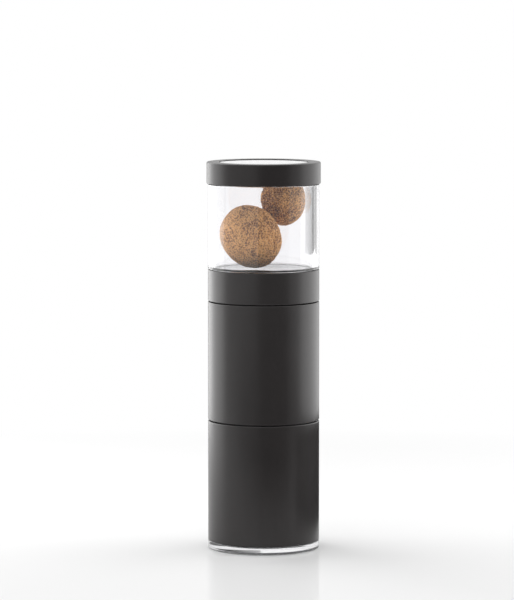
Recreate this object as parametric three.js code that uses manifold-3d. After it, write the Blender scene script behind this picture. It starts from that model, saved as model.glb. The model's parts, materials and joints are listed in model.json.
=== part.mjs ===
// A twist-action nutmeg grater, as the separate pieces it is assembled from.
// Millimetres, +Z up, origin at the middle of the face it stands on.
// The lower casing carries the cutting disc. It turns about the grip, whose inner tube holds the nutmeg.
// A spring in the top unit pushes the nutmeg down on the disc, and a clear jar above it stores spare nutmegs.
import * as THREE from "three";
import { mergeVertices } from "three/addons/utils/BufferGeometryUtils.js";
import Module from "manifold-3d";

const wasm = await Module();
wasm.setup();

// Heights of the outside, from the table upwards
const baseRim = 3.0;
const lowerCasing = 45.4;
const turningSeam = 0.4;
const upperCasing = 44.7;
const collarSeam = 0.3;
const collarHeight = 11.9;
const jarHeight = 32.0;
const lidHeight = 8.2;

// Clearances
const slipFit = 0.3; // radial, between pieces that turn, slide or plug together
const seatGap = 0.1; // between faces that rest on each other
const edgeBreak = 0.3; // chamfer on the outside edges

// The chamber, and the walls and steps from it outwards
const chamberRadius = 14.1;
const chamberWall = 1.7;
const bearingReach = 1.1;
const bladeShoulder = 1.0;
const mouthWall = 1.3;
const casingWall = 1.2;
const lidOverhang = 0.5;

// Other walls
const threadStep = 0.6;
const hubWall = 1.5;
const collarWall = 2.1;
const jarWall = 2.6;
const jarNeckWall = 1.0;
const jarPlugWall = 2.6;

// Base cover
const coverFloor = 1.4;
const footRecess = 0.6;
const footInset = 3.5;
const skirtHeight = 9.0;
const skirtWall = 1.5;
const skirtSealHeight = 4.4; // from the rim's top face to the groove

// Round seals
const sealWidth = 1.2;
const sealDepth = 0.7;
const sealPlay = 0.1;

// Outlet and cutting disc
const outletDepth = 16.7; // from the mouth's edge to the disc's underside
const discThickness = 0.8;
const discPlay = 0.4; // between the disc and the tube that turns over it
const funnelHeight = 2.8;
const funnelEdge = 0.6;
const slotReach = 12.6;
const narrowSlot = 0.9;
const wideSlot = 1.5;
const lipLength = 2.9;
const lipThickness = 0.6;
const lipAngle = 25; // degrees
const teeth = 6;
const toothDepth = 0.9;

// Grinding chamber and the bearing that the lower casing turns on
const ribCount = 4;
const ribWidth = 1.6;
const ribHeight = 0.8;
const tubeFlange = 1.8;
const bearingLip = 6.1;
const housingInset = 1.1;
const washerThickness = 0.8;
const hubFloor = 2.2;
const hubInset = 1.0;
const pocketDepth = 11.8;
const nutHeight = 3.5;
const nutNotches = 6;
const notchWidth = 2.4;
const notchDepth = 1.6;
const spigotHeight = 8.9;
const tubeTopDrop = 3.9; // the tube's top edge below the collar

// Collar gasket
const gasketThickness = 0.8;

// Spring guide under the collar
const deckThickness = 2.5;
const stemRadius = 2.5;
const stemHeadStep = 1.5;
const stemHeadHeight = 2.5;
const guideWall = 1.5;
const guideLip = 1.5;
const guideSpare = 1.4;
const guideFlange = 1.5;
const guideScrews = 3;
const screwPlay = 0.8; // between the spring and the screws' heads
const screwHeadRadius = 1.9;
const screwHeadHeight = 1.2;
const screwRadius = 0.9;
const screwBite = 1.8; // how far a guide screw goes into the deck

// Pusher
const stopSpare = 0.8; // left between the boss and the guide at full lift
const clawClearance = 6.6; // claw tips above the cutting lip, with no nutmeg in
const clawLength = 2.5;
const clawCount = 4;
const clawInset = 2.0;
const clawRadius = 1.2;
const clawPlateRadius = 9.0;
const clawPlateThickness = 0.8;
const plateThickness = 2.5;
const bossWall = 2.2;
const bossHeight = 3.0;
const stemSpigotRadius = 1.8;
const stemSpigot = 3.0;
const clawScrewRadius = 0.7;
const clawScrewDepth = 7.9;
const clawScrewHeadRadius = 2.4;
const clawScrewHead = 1.1;

// Pusher spring
const springPlay = 0.8; // between the spring and the guide inside it
const wireRadius = 0.6;
const springTurns = 12;
const springSteps = 8; // in each turn
const wireSides = 6;

// Jar
const jarFloor = 1.8;
const jarFloorDrop = 1.5; // the floor's underside below the wall's lower edge
const jarFillet = 1.2;
const jarPlug = 7.4;
const jarSealHeight = 3.1; // from the plug's lower edge to the groove
const jarNeck = 5.0;

// Lid
const windowRadius = 16.5;
const windowThickness = 1.6;
const windowDrop = 0.2;
const windowLedge = 1.1;
const lidPlugWall = 1.3;
const lidPlug = 3.0;
const lidSealHeight = 0.8; // from the plug's lower edge to the groove
const lidRounding = 0.5;

// Stored nutmegs: half-axes, how far each leans to the left, and the direction in which it touches the jar's wall,
// in degrees
const frontNutmeg = { half: [11.1, 11.0, 12.3], lean: 36.4, direction: -135.6 };
const backNutmeg = { half: [8.8, 8.8, 9.7], lean: 0, direction: 35.2 };

// Smoothness of round pieces, in sides
const bigRound = 32;
const smallRound = 20;
const filletSides = 4; // in the jar's inner corner
const clawSides = 4;
const nutmegMeridians = 20;
const nutmegRings = 12;

// Radii that follow
const tubeRadius = chamberRadius + chamberWall;
const tubeFlangeRadius = tubeRadius + bearingReach;
const bearingBore = tubeFlangeRadius + slipFit;
const mouthBore = bearingBore + bladeShoulder;
const linerRadius = mouthBore + mouthWall;
const casingBore = linerRadius + slipFit;
const bodyRadius = casingBore + casingWall;
const plugRadius = mouthBore - slipFit; // cover skirt, cutting disc and funnel ring
const tubeThread = tubeRadius - threadStep;
const bearingLipBore = tubeRadius + slipFit;
const hubBore = tubeThread + slipFit;
const pocketBore = linerRadius - hubWall;
const spigotRadius = pocketBore - slipFit;
const spigotBore = tubeThread + slipFit + seatGap;
const stemHeadRadius = stemRadius + stemHeadStep;
const guideBore = stemHeadRadius + slipFit;
const guideRadius = guideBore + guideWall;
const springRadius = guideRadius + springPlay + wireRadius;
const guideScrewCircle = springRadius + wireRadius + screwPlay + screwHeadRadius;
const guideFlangeRadius = guideScrewCircle + screwHeadRadius + seatGap;
const plateRadius = chamberRadius - slipFit;
const bossRadius = stemRadius + slipFit + bossWall;
const clawCircle = clawPlateRadius - clawInset;
const collarBore = bodyRadius - collarWall;
const jarPlugRadius = collarBore - slipFit;
const jarBore = bodyRadius - jarWall;
const neckRadius = jarBore + jarNeckWall;
const lidRadius = bodyRadius + lidOverhang;
const lidSkirtBore = neckRadius + slipFit;
const lidPlugRadius = jarBore - slipFit;
const windowSeat = windowRadius + slipFit;

// Heights that follow
const mouthZ = baseRim + seatGap;
const lowerTopZ = mouthZ + lowerCasing;
const upperBottomZ = lowerTopZ + turningSeam;
const upperTopZ = upperBottomZ + upperCasing;
const collarZ = upperTopZ + collarSeam;
const collarTopZ = collarZ + collarHeight;
const jarZ = collarTopZ + seatGap;
const jarShoulderZ = jarZ + jarHeight;
const lidZ = jarShoulderZ + seatGap;
const lidTopZ = lidZ + lidHeight;

const discZ = mouthZ + outletDepth;
const discTopZ = discZ + discThickness;
const housingTopZ = lowerTopZ - housingInset;
const bearingLipZ = housingTopZ - bearingLip;
const washerZ = housingTopZ + seatGap;
const hubZ = washerZ + washerThickness + seatGap;
const hubTopZ = upperTopZ - hubInset;
const pocketZ = hubTopZ - pocketDepth;
const tubeZ = discTopZ + discPlay;
const tubeTopZ = collarZ - tubeTopDrop;
const deckTopZ = collarZ + deckThickness;

const lipRise = lipLength * Math.sin(THREE.MathUtils.degToRad(lipAngle));
const clawTipZ = discTopZ + lipRise + clawClearance;
const clawPlateZ = clawTipZ + clawLength;
const plateZ = clawPlateZ + clawPlateThickness + seatGap;
const plateTopZ = plateZ + plateThickness;
const bossTopZ = plateTopZ + bossHeight;
const guideTopZ = collarZ - seatGap;
const guideFlangeZ = guideTopZ - guideFlange;
const guideRoom = collarZ - guideSpare - stemHeadHeight - seatGap - guideLip - bossTopZ - stopSpare;
const pusherTravel = guideRoom / 2; // half for the stem's way up in the guide, and half for the boss below it
const stemHeadZ = collarZ - guideSpare - pusherTravel - stemHeadHeight;
const guideLipZ = stemHeadZ - seatGap - guideLip;

const jarUnderZ = jarZ - jarFloorDrop;
const jarFloorZ = jarUnderZ + jarFloor;
const lidUndersideZ = jarShoulderZ + jarNeck + seatGap;
const windowSeatZ = lidUndersideZ + windowLedge;

const clearOpacity = 0.35;

// Finishes, each as colour, roughness and metalness
const finishes = {
  satinBlack: [0x1b1b1c, 0.4, 0.1],
  blackPlastic: [0x202021, 0.5, 0.0],
  clearPlastic: [0xeef3f5, 0.06, 0.0],
  steel: [0xc9cbcc, 0.25, 1.0],
  blackRubber: [0x151515, 0.8, 0.0],
  clearRubber: [0xd8d8d4, 0.5, 0.0],
  nutmeg: [0x9a7250, 0.75, 0.0],
};

const grater = new THREE.Group();

// Adds a named piece in one of the finishes above.
function addPiece(name, geometry, finish) {
  const [color, roughness, metalness] = finishes[finish];
  const material = new THREE.MeshStandardMaterial({ color, roughness, metalness });
  if (finish === "clearPlastic") {
    material.transparent = true;
    material.opacity = clearOpacity;
  }
  const mesh = new THREE.Mesh(geometry, material);
  mesh.name = name;
  grater.add(mesh);
  return mesh;
}

// A piece turned about Z. The outline is [radius, height] points, anticlockwise.
// It is closed, unless it starts on the axis.
function turned(outline, sides = bigRound) {
  const points = outline.map(([radius, height]) => new THREE.Vector2(radius, height));
  const onAxis = outline[0][0] === 0;
  if (!onAxis) points.push(points[0].clone());
  return new THREE.LatheGeometry(points, sides).rotateX(Math.PI / 2);
}

// A plain tube or washer.
function tube(innerRadius, outerRadius, bottom, top, sides = bigRound) {
  const corners = [
    [innerRadius, bottom],
    [outerRadius, bottom],
    [outerRadius, top],
    [innerRadius, top],
  ];
  return turned(corners, sides);
}

// A round bar along Z, centred at x and y.
function bar(radius, bottom, top, x = 0, y = 0, sides = smallRound) {
  return turned([[0, bottom], [radius, bottom], [radius, top], [0, top]], sides).translate(x, y, 0);
}

// A block with its middle at the given radius and angle about Z.
function blockAt(radius, angle, depth, width, bottom, top) {
  return new THREE.BoxGeometry(depth, width, top - bottom)
    .translate(radius, 0, (bottom + top) / 2)
    .rotateZ(angle);
}

// The seal that lies in a groove cut sealDepth into the outside of a plug.
function sealInGroove(plugOutside, grooveZ) {
  const inside = plugOutside - sealDepth + sealPlay;
  return tube(inside, plugOutside + sealPlay, grooveZ + sealPlay, grooveZ + sealWidth - sealPlay);
}

// The four outline points of that groove, going up the outside of the plug.
function grooveUp(plugOutside, grooveZ) {
  return [
    [plugOutside, grooveZ],
    [plugOutside - sealDepth, grooveZ],
    [plugOutside - sealDepth, grooveZ + sealWidth],
    [plugOutside, grooveZ + sealWidth],
  ];
}

// A closed geometry as a solid that can be joined and cut.
function toSolid(geometry) {
  const bare = geometry.index ? geometry.toNonIndexed() : geometry.clone();
  bare.deleteAttribute("normal");
  bare.deleteAttribute("uv");
  const merged = mergeVertices(bare, 1e-3);
  return new wasm.Manifold(
    new wasm.Mesh({
      numProp: 3,
      vertProperties: merged.attributes.position.array,
      triVerts: new Uint32Array(merged.index.array),
    }),
  );
}

// The other way round: a solid as a geometry.
function toGeometry(solid) {
  const mesh = solid.getMesh();
  const geometry = new THREE.BufferGeometry();
  geometry.setAttribute("position", new THREE.BufferAttribute(mesh.vertProperties, 3));
  geometry.setIndex(new THREE.BufferAttribute(mesh.triVerts, 1));
  geometry.computeVertexNormals();
  return geometry;
}

// One geometry with others joined to it and cut from it.
function shaped(geometry, joined = [], cut = []) {
  let solid = toSolid(geometry);
  for (const extra of joined) solid = solid.add(toSolid(extra));
  for (const tool of cut) solid = solid.subtract(toSolid(tool));
  return toGeometry(solid);
}

// Evenly spaced angles about Z.
function around(count, start = 0) {
  return Array.from({ length: count }, (_, k) => start + (k * 2 * Math.PI) / count);
}

// Clear cover that the grater stands on. Its skirt plugs into the mouth of the lower casing.
function buildBaseCover() {
  const skirtTop = baseRim + skirtHeight;
  const skirtBore = plugRadius - skirtWall;
  const footRadius = bodyRadius - footInset;
  const grooveZ = baseRim + skirtSealHeight;
  addPiece(
    "base_cover",
    turned([
      [0, footRecess],
      [footRadius, footRecess],
      [footRadius, 0],
      [bodyRadius - edgeBreak, 0],
      [bodyRadius, edgeBreak],
      [bodyRadius, baseRim],
      [plugRadius, baseRim],
      ...grooveUp(plugRadius, grooveZ),
      [plugRadius, skirtTop],
      [skirtBore, skirtTop],
      [skirtBore, footRecess + coverFloor],
      [0, footRecess + coverFloor],
    ]),
    "clearPlastic",
  );
  addPiece("base_cover_seal", sealInGroove(plugRadius, grooveZ), "clearRubber");
}

// A casing tube with its outer edges broken.
function casing(bottom, top) {
  return turned([
    [casingBore, bottom],
    [bodyRadius - edgeBreak, bottom],
    [bodyRadius, bottom + edgeBreak],
    [bodyRadius, top - edgeBreak],
    [bodyRadius - edgeBreak, top],
    [casingBore, top],
  ]);
}

// The turning lower half: casing, housing with the outlet mouth, and the bearing lip at its top.
function buildLowerHalf() {
  addPiece("lower_casing", casing(mouthZ, lowerTopZ), "satinBlack");
  const shoulderZ = discTopZ + seatGap;
  addPiece(
    "blade_housing",
    turned([
      [mouthBore, mouthZ],
      [linerRadius, mouthZ],
      [linerRadius, housingTopZ],
      [bearingLipBore, housingTopZ],
      [bearingLipBore, bearingLipZ],
      [bearingBore, bearingLipZ],
      [bearingBore, shoulderZ],
      [mouthBore, shoulderZ],
    ]),
    "blackPlastic",
  );
  const funnelTop = discZ - seatGap;
  const funnelZ = funnelTop - funnelHeight;
  addPiece(
    "funnel_ring",
    turned([
      [plugRadius - funnelEdge, funnelZ],
      [plugRadius, funnelZ],
      [plugRadius, funnelTop],
      [chamberRadius, funnelTop],
    ]),
    "blackPlastic",
  );
  const washer = tube(bearingLipBore + slipFit, linerRadius - slipFit, washerZ, washerZ + washerThickness);
  addPiece("thrust_washer", washer, "blackPlastic");
}

// Steel disc with a stepped slot, and a toothed lip bent up through the slot's wide half.
function buildCuttingDisc() {
  const outline = new THREE.Shape().absarc(0, 0, plugRadius, 0, 2 * Math.PI);
  outline.holes.push(
    new THREE.Path([
      new THREE.Vector2(-slotReach, -narrowSlot),
      new THREE.Vector2(-slotReach, narrowSlot),
      new THREE.Vector2(0, narrowSlot),
      new THREE.Vector2(0, wideSlot),
      new THREE.Vector2(slotReach, wideSlot),
      new THREE.Vector2(slotReach, -wideSlot),
      new THREE.Vector2(0, -wideSlot),
      new THREE.Vector2(0, -narrowSlot),
    ]),
  );
  const disc = new THREE.ExtrudeGeometry(outline, {
    depth: discThickness,
    bevelEnabled: false,
    curveSegments: bigRound / 2,
  }).translate(0, 0, discZ);

  const lipWidth = slotReach - 2 * slipFit;
  const pitch = lipWidth / teeth;
  const points = [new THREE.Vector2(slipFit, 0), new THREE.Vector2(slipFit + lipWidth, 0)];
  for (let k = teeth - 1; k >= 0; k--) {
    const toothEnd = slipFit + (k + 1) * pitch;
    points.push(new THREE.Vector2(toothEnd, lipLength - toothDepth));
    points.push(new THREE.Vector2(toothEnd - pitch, lipLength));
  }
  const overlap = lipThickness / 2;
  const lip = new THREE.ExtrudeGeometry(new THREE.Shape(points), { depth: lipThickness, bevelEnabled: false })
    .translate(0, -overlap, 0)
    .rotateX(THREE.MathUtils.degToRad(lipAngle))
    .translate(0, -wideSlot, discTopZ - lipThickness);
  addPiece("cutting_disc", shaped(disc, [lip]), "steel");
}

// The fixed upper half: ribbed chamber tube, hub that grips it, ring nut, and the casing that a hand holds.
function buildGrip() {
  const flangeTop = bearingLipZ - slipFit;
  const shoulderZ = hubZ - seatGap;
  const ribDepth = 2 * ribHeight;
  const ribs = around(ribCount, Math.PI / ribCount).map((angle) =>
    blockAt(chamberRadius - ribHeight + ribDepth / 2, angle, ribDepth, ribWidth, tubeZ, tubeTopZ),
  );
  addPiece(
    "chamber_tube",
    shaped(
      turned([
        [chamberRadius, tubeZ],
        [tubeRadius, tubeZ],
        [tubeRadius, flangeTop - tubeFlange],
        [tubeFlangeRadius, flangeTop - tubeFlange],
        [tubeFlangeRadius, flangeTop],
        [tubeRadius, flangeTop],
        [tubeRadius, shoulderZ],
        [tubeThread, shoulderZ],
        [tubeThread, tubeTopZ],
        [chamberRadius, tubeTopZ],
      ]),
      ribs,
    ),
    "blackPlastic",
  );
  addPiece(
    "grip_hub",
    turned([
      [hubBore, hubZ],
      [linerRadius, hubZ],
      [linerRadius, hubTopZ],
      [pocketBore, hubTopZ],
      [pocketBore, pocketZ],
      [hubBore, pocketZ],
      [hubBore, pocketZ - hubFloor],
      [pocketBore, pocketZ - hubFloor],
      [pocketBore, hubZ + hubFloor],
      [hubBore, hubZ + hubFloor],
    ]),
    "blackPlastic",
  );
  const nutZ = pocketZ + seatGap;
  const nutTop = nutZ + nutHeight;
  const nutRadius = spigotRadius - seatGap;
  const notches = around(nutNotches).map((angle) =>
    blockAt(nutRadius, angle, nutRadius - hubBore, notchWidth, nutTop - notchDepth, nutTop + seatGap),
  );
  addPiece("hub_nut", shaped(tube(hubBore, nutRadius, nutZ, nutTop), [], notches), "blackPlastic");
  addPiece("upper_casing", casing(upperBottomZ, upperTopZ), "satinBlack");
}

// Collar that screws into the grip and carries the jar, with the guide and its screws hanging under its deck.
function buildCollar() {
  const screwSpots = around(guideScrews).map((angle) => [
    guideScrewCircle * Math.cos(angle),
    guideScrewCircle * Math.sin(angle),
  ]);
  const screwTop = collarZ + screwBite;
  const screwHoles = screwSpots.map(([x, y]) =>
    bar(screwRadius + slipFit, guideFlangeZ - seatGap, screwTop + seatGap, x, y),
  );
  addPiece(
    "jar_collar",
    shaped(
      turned([
        [0, collarZ],
        [spigotBore, collarZ],
        [spigotBore, collarZ - spigotHeight],
        [spigotRadius, collarZ - spigotHeight],
        [spigotRadius, collarZ],
        [bodyRadius - edgeBreak, collarZ],
        [bodyRadius, collarZ + edgeBreak],
        [bodyRadius, collarTopZ - edgeBreak],
        [bodyRadius - edgeBreak, collarTopZ],
        [collarBore, collarTopZ],
        [collarBore, deckTopZ],
        [0, deckTopZ],
      ]),
      [],
      screwHoles,
    ),
    "satinBlack",
  );
  const gasketTop = collarZ - seatGap;
  const gasketZ = gasketTop - gasketThickness;
  const collarGasket = tube(spigotRadius + seatGap, linerRadius - seatGap, gasketZ, gasketTop);
  addPiece("collar_gasket", collarGasket, "blackRubber");
  addPiece(
    "spring_guide",
    shaped(
      turned(
        [
          [stemRadius + slipFit, guideLipZ],
          [guideRadius, guideLipZ],
          [guideRadius, guideFlangeZ],
          [guideFlangeRadius, guideFlangeZ],
          [guideFlangeRadius, guideTopZ],
          [guideBore, guideTopZ],
          [guideBore, guideLipZ + guideLip],
          [stemRadius + slipFit, guideLipZ + guideLip],
        ],
        smallRound,
      ),
      [],
      screwHoles,
    ),
    "blackPlastic",
  );
  const headTop = guideFlangeZ - seatGap;
  screwSpots.forEach(([x, y], k) => {
    const screw = turned(
      [
        [0, headTop - screwHeadHeight],
        [screwHeadRadius, headTop - screwHeadHeight],
        [screwHeadRadius, headTop],
        [screwRadius, headTop],
        [screwRadius, screwTop],
        [0, screwTop],
      ],
      smallRound,
    ).translate(x, y, 0);
    addPiece(`guide_screw_${k + 1}`, screw, "steel");
  });
}

// Spring-loaded pusher that holds the nutmeg still and presses it on the disc.
function buildPusher() {
  const spigotZ = plateZ + seatGap;
  const shoulderZ = plateZ + stemSpigot;
  const counterboreZ = shoulderZ - seatGap;
  const keywayDepth = 2 * ribHeight;
  const keywayRadius = chamberRadius - ribHeight - slipFit + keywayDepth / 2;
  const keywayWidth = ribWidth + 2 * slipFit;
  const keyways = around(ribCount, Math.PI / ribCount).map((angle) =>
    blockAt(keywayRadius, angle, keywayDepth, keywayWidth, plateZ - seatGap, plateTopZ + seatGap),
  );
  addPiece(
    "pusher_plate",
    shaped(
      turned([
        [stemSpigotRadius + slipFit, plateZ],
        [plateRadius, plateZ],
        [plateRadius, plateTopZ],
        [bossRadius, plateTopZ],
        [bossRadius, bossTopZ],
        [stemRadius + slipFit, bossTopZ],
        [stemRadius + slipFit, counterboreZ],
        [stemSpigotRadius + slipFit, counterboreZ],
      ]),
      [],
      keyways,
    ),
    "blackPlastic",
  );
  const holeTop = clawPlateZ + clawScrewDepth + 2 * seatGap;
  const tappedRadius = clawScrewRadius + slipFit;
  addPiece(
    "pusher_stem",
    turned(
      [
        [0, holeTop],
        [tappedRadius, holeTop],
        [tappedRadius, spigotZ],
        [stemSpigotRadius, spigotZ],
        [stemSpigotRadius, shoulderZ],
        [stemRadius, shoulderZ],
        [stemRadius, stemHeadZ],
        [stemHeadRadius, stemHeadZ],
        [stemHeadRadius, stemHeadZ + stemHeadHeight],
        [0, stemHeadZ + stemHeadHeight],
      ],
      smallRound,
    ),
    "steel",
  );
  const clawHole = tappedRadius + slipFit;
  const clawPlate = tube(clawHole, clawPlateRadius, clawPlateZ, clawPlateZ + clawPlateThickness);
  const root = clawPlateThickness / 2;
  const claws = around(clawCount).map((angle) =>
    new THREE.ConeGeometry(clawRadius, clawLength + root, clawSides)
      .rotateX(-Math.PI / 2)
      .translate(clawCircle, 0, clawTipZ + (clawLength + root) / 2)
      .rotateZ(angle),
  );
  addPiece("claw_plate", shaped(clawPlate, claws), "steel");
  const headTop = clawPlateZ - seatGap;
  addPiece(
    "claw_screw",
    turned(
      [
        [0, headTop - clawScrewHead],
        [clawScrewHeadRadius, headTop - clawScrewHead],
        [clawScrewHeadRadius, headTop],
        [clawScrewRadius, headTop],
        [clawScrewRadius, headTop + clawScrewDepth],
        [0, headTop + clawScrewDepth],
      ],
      smallRound,
    ),
    "steel",
  );
}

// Centreline of the pusher spring.
class Coil extends THREE.Curve {
  constructor(radius, bottom, top, turns) {
    super();
    this.radius = radius;
    this.bottom = bottom;
    this.top = top;
    this.turns = turns;
  }
  getPoint(t, target = new THREE.Vector3()) {
    const angle = 2 * Math.PI * this.turns * t;
    return target.set(
      this.radius * Math.cos(angle),
      this.radius * Math.sin(angle),
      this.bottom + (this.top - this.bottom) * t,
    );
  }
}

// The least gap between the turns of a coil, measured on points half a turn or more apart.
function leastCoilGap(coil, wire) {
  const points = coil.getPoints(coil.turns * springSteps);
  let least = Infinity;
  for (let i = 0; i < points.length; i++) {
    for (let k = i + springSteps / 2; k < points.length; k++) {
      least = Math.min(least, points[i].distanceTo(points[k]));
    }
  }
  return least - 2 * wire;
}

// Coil spring between the pusher plate and the guide's flange.
function buildSpring() {
  const endRoom = wireRadius + seatGap;
  const coil = new Coil(springRadius, plateTopZ + endRoom, guideFlangeZ - endRoom, springTurns);
  const wire = new THREE.Shape().absarc(0, 0, wireRadius, 0, 2 * Math.PI);
  const spring = new THREE.ExtrudeGeometry(wire, {
    steps: springTurns * springSteps,
    curveSegments: wireSides / 2,
    extrudePath: coil,
  });
  console.log("pusher spring: least gap between turns", leastCoilGap(coil, wireRadius).toFixed(2), "mm");
  addPiece("pusher_spring", spring, "steel");
}

// Clear storage jar, plugged into the collar, with its gasket.
function buildJar() {
  const plugZ = jarZ - jarPlug;
  const grooveZ = plugZ + jarSealHeight;
  const neckTop = jarShoulderZ + jarNeck;
  const fillet = Array.from({ length: filletSides + 1 }, (_, k) => {
    const angle = ((k / filletSides) * Math.PI) / 2;
    return [
      jarBore - jarFillet + jarFillet * Math.cos(angle),
      jarFloorZ + jarFillet - jarFillet * Math.sin(angle),
    ];
  });
  addPiece(
    "storage_jar",
    turned([
      [0, jarUnderZ],
      [jarPlugRadius - jarPlugWall, jarUnderZ],
      [jarPlugRadius - jarPlugWall, plugZ],
      [jarPlugRadius, plugZ],
      ...grooveUp(jarPlugRadius, grooveZ),
      [jarPlugRadius, jarZ],
      [bodyRadius, jarZ],
      [bodyRadius, jarShoulderZ],
      [neckRadius, jarShoulderZ],
      [neckRadius, neckTop],
      [jarBore, neckTop],
      ...fillet,
      [0, jarFloorZ],
    ]),
    "clearPlastic",
  );
  addPiece("jar_gasket", sealInGroove(jarPlugRadius, grooveZ), "blackRubber");
}

// Push-on lid: black ring, clear window let into its top, and a seal on its inner plug.
function buildLid() {
  const plugZ = lidUndersideZ - lidPlug;
  const grooveZ = plugZ + lidSealHeight;
  const plugBore = lidPlugRadius - lidPlugWall;
  addPiece(
    "lid_ring",
    turned([
      [lidSkirtBore, lidZ],
      [lidRadius - edgeBreak, lidZ],
      [lidRadius, lidZ + edgeBreak],
      [lidRadius, lidTopZ - lidRounding],
      [lidRadius - lidRounding, lidTopZ],
      [windowSeat, lidTopZ],
      [windowSeat, windowSeatZ],
      [windowSeat - windowLedge - slipFit, windowSeatZ],
      [windowSeat - windowLedge - slipFit, lidUndersideZ],
      [plugBore, lidUndersideZ],
      [plugBore, plugZ],
      [lidPlugRadius, plugZ],
      ...grooveUp(lidPlugRadius, grooveZ),
      [lidPlugRadius, lidUndersideZ],
      [lidSkirtBore, lidUndersideZ],
    ]),
    "satinBlack",
  );
  addPiece("lid_seal", sealInGroove(lidPlugRadius, grooveZ), "clearRubber");
  const windowTop = lidTopZ - windowDrop;
  const window = bar(windowRadius, windowTop - windowThickness, windowTop, 0, 0, bigRound);
  addPiece("lid_window", window, "clearPlastic");
}

// Half the width, depth and height that a leaning nutmeg takes up.
function nutmegReach({ half, lean }) {
  const angle = THREE.MathUtils.degToRad(lean);
  const [across, deep, along] = half;
  return new THREE.Vector3(
    Math.hypot(across * Math.cos(angle), along * Math.sin(angle)),
    deep,
    Math.hypot(across * Math.sin(angle), along * Math.cos(angle)),
  );
}

// Centre of a nutmeg that touches the jar's wall, at the given height.
function nutmegCentre(nutmeg, height) {
  const reach = nutmegReach(nutmeg);
  const radius = jarBore - slipFit - Math.max(reach.x, reach.y);
  const angle = THREE.MathUtils.degToRad(nutmeg.direction);
  return new THREE.Vector3(radius * Math.cos(angle), radius * Math.sin(angle), height);
}

// The two nutmegs kept in the jar. The front one stands on the floor, and the back one leans on its flank.
function buildStoredNutmegs() {
  const front = nutmegCentre(frontNutmeg, jarFloorZ + slipFit + nutmegReach(frontNutmeg).z);
  const back = nutmegCentre(backNutmeg, front.z);
  const backRadius = backNutmeg.half.reduce((sum, half) => sum + half) / backNutmeg.half.length;
  const apart = frontNutmeg.half[0] + backRadius + slipFit;
  back.z += Math.sqrt(Math.max(apart ** 2 - front.distanceToSquared(back), 0));
  const egg = ({ half, lean }, centre) =>
    new THREE.SphereGeometry(1, nutmegMeridians, nutmegRings)
      .rotateX(Math.PI / 2)
      .scale(...half)
      .rotateY(-THREE.MathUtils.degToRad(lean))
      .translate(centre.x, centre.y, centre.z);
  addPiece("stored_nutmeg_front", egg(frontNutmeg, front), "nutmeg");
  addPiece("stored_nutmeg_back", egg(backNutmeg, back), "nutmeg");
}

buildBaseCover();
buildLowerHalf();
buildCuttingDisc();
buildGrip();
buildCollar();
buildPusher();
buildSpring();
buildJar();
buildLid();
buildStoredNutmegs();

export default grater;
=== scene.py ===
"""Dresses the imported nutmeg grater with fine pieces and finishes, and sets up a camera and a white stage.

Laid out as an add-on and run as a script. Lengths are in metres, with +Z up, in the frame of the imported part.
"""

import json
import math

import bmesh
import bpy
from bpy.props import FloatProperty, FloatVectorProperty, IntProperty, PointerProperty
from mathutils import Matrix, Vector, noise

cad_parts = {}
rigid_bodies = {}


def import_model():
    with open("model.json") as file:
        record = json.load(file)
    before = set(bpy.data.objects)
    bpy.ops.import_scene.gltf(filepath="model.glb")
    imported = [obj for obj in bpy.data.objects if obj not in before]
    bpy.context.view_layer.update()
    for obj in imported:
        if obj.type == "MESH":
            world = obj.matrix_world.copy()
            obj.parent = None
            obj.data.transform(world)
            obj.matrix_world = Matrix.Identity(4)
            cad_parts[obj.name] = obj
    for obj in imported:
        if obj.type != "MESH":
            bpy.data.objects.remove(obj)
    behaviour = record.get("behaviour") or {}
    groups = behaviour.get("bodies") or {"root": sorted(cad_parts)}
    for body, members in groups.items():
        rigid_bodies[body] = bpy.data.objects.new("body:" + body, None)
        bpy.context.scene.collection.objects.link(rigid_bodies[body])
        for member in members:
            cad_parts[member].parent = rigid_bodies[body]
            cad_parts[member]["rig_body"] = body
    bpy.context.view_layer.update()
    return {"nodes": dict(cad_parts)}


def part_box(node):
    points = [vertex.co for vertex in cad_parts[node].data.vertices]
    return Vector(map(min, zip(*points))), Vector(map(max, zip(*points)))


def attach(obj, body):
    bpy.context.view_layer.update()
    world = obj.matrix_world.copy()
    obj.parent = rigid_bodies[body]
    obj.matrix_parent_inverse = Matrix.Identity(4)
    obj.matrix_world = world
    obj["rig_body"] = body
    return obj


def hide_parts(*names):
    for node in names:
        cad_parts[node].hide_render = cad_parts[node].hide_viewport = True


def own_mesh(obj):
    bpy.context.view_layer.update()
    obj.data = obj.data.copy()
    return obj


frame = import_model()

bl_info = {
    "name": "Nutmeg Grater",
    "version": (1, 0, 0),
    "blender": (4, 5, 0),
    "location": "3D View > Sidebar > Grater",
    "description": "Fine pieces, finishes and a stage for a twist-action nutmeg grater",
    "category": "Object",
}

MM = 0.001
TOUCH = 0.0001 * MM  # points closer than this are one point
SHARP = math.radians(35)  # an edge that folds more than this is shaded sharp
FULL_TURN = 2 * math.pi

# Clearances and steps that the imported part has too
SLIP_FIT = 0.3 * MM
SEAT_GAP = 0.1 * MM
SEAL_PLAY = 0.1 * MM
SEAL_DEPTH = 0.7 * MM
BEARING_REACH = 1.1 * MM
THREAD_STEP = 0.6 * MM
WINDOW_LEDGE = 1.1 * MM


def low(node):
    """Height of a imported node's lowest point."""
    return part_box(node)[0].z


def high(node):
    """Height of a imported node's highest point."""
    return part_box(node)[1].z


def reach(node):
    """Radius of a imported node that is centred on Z."""
    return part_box(node)[1].x


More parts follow.
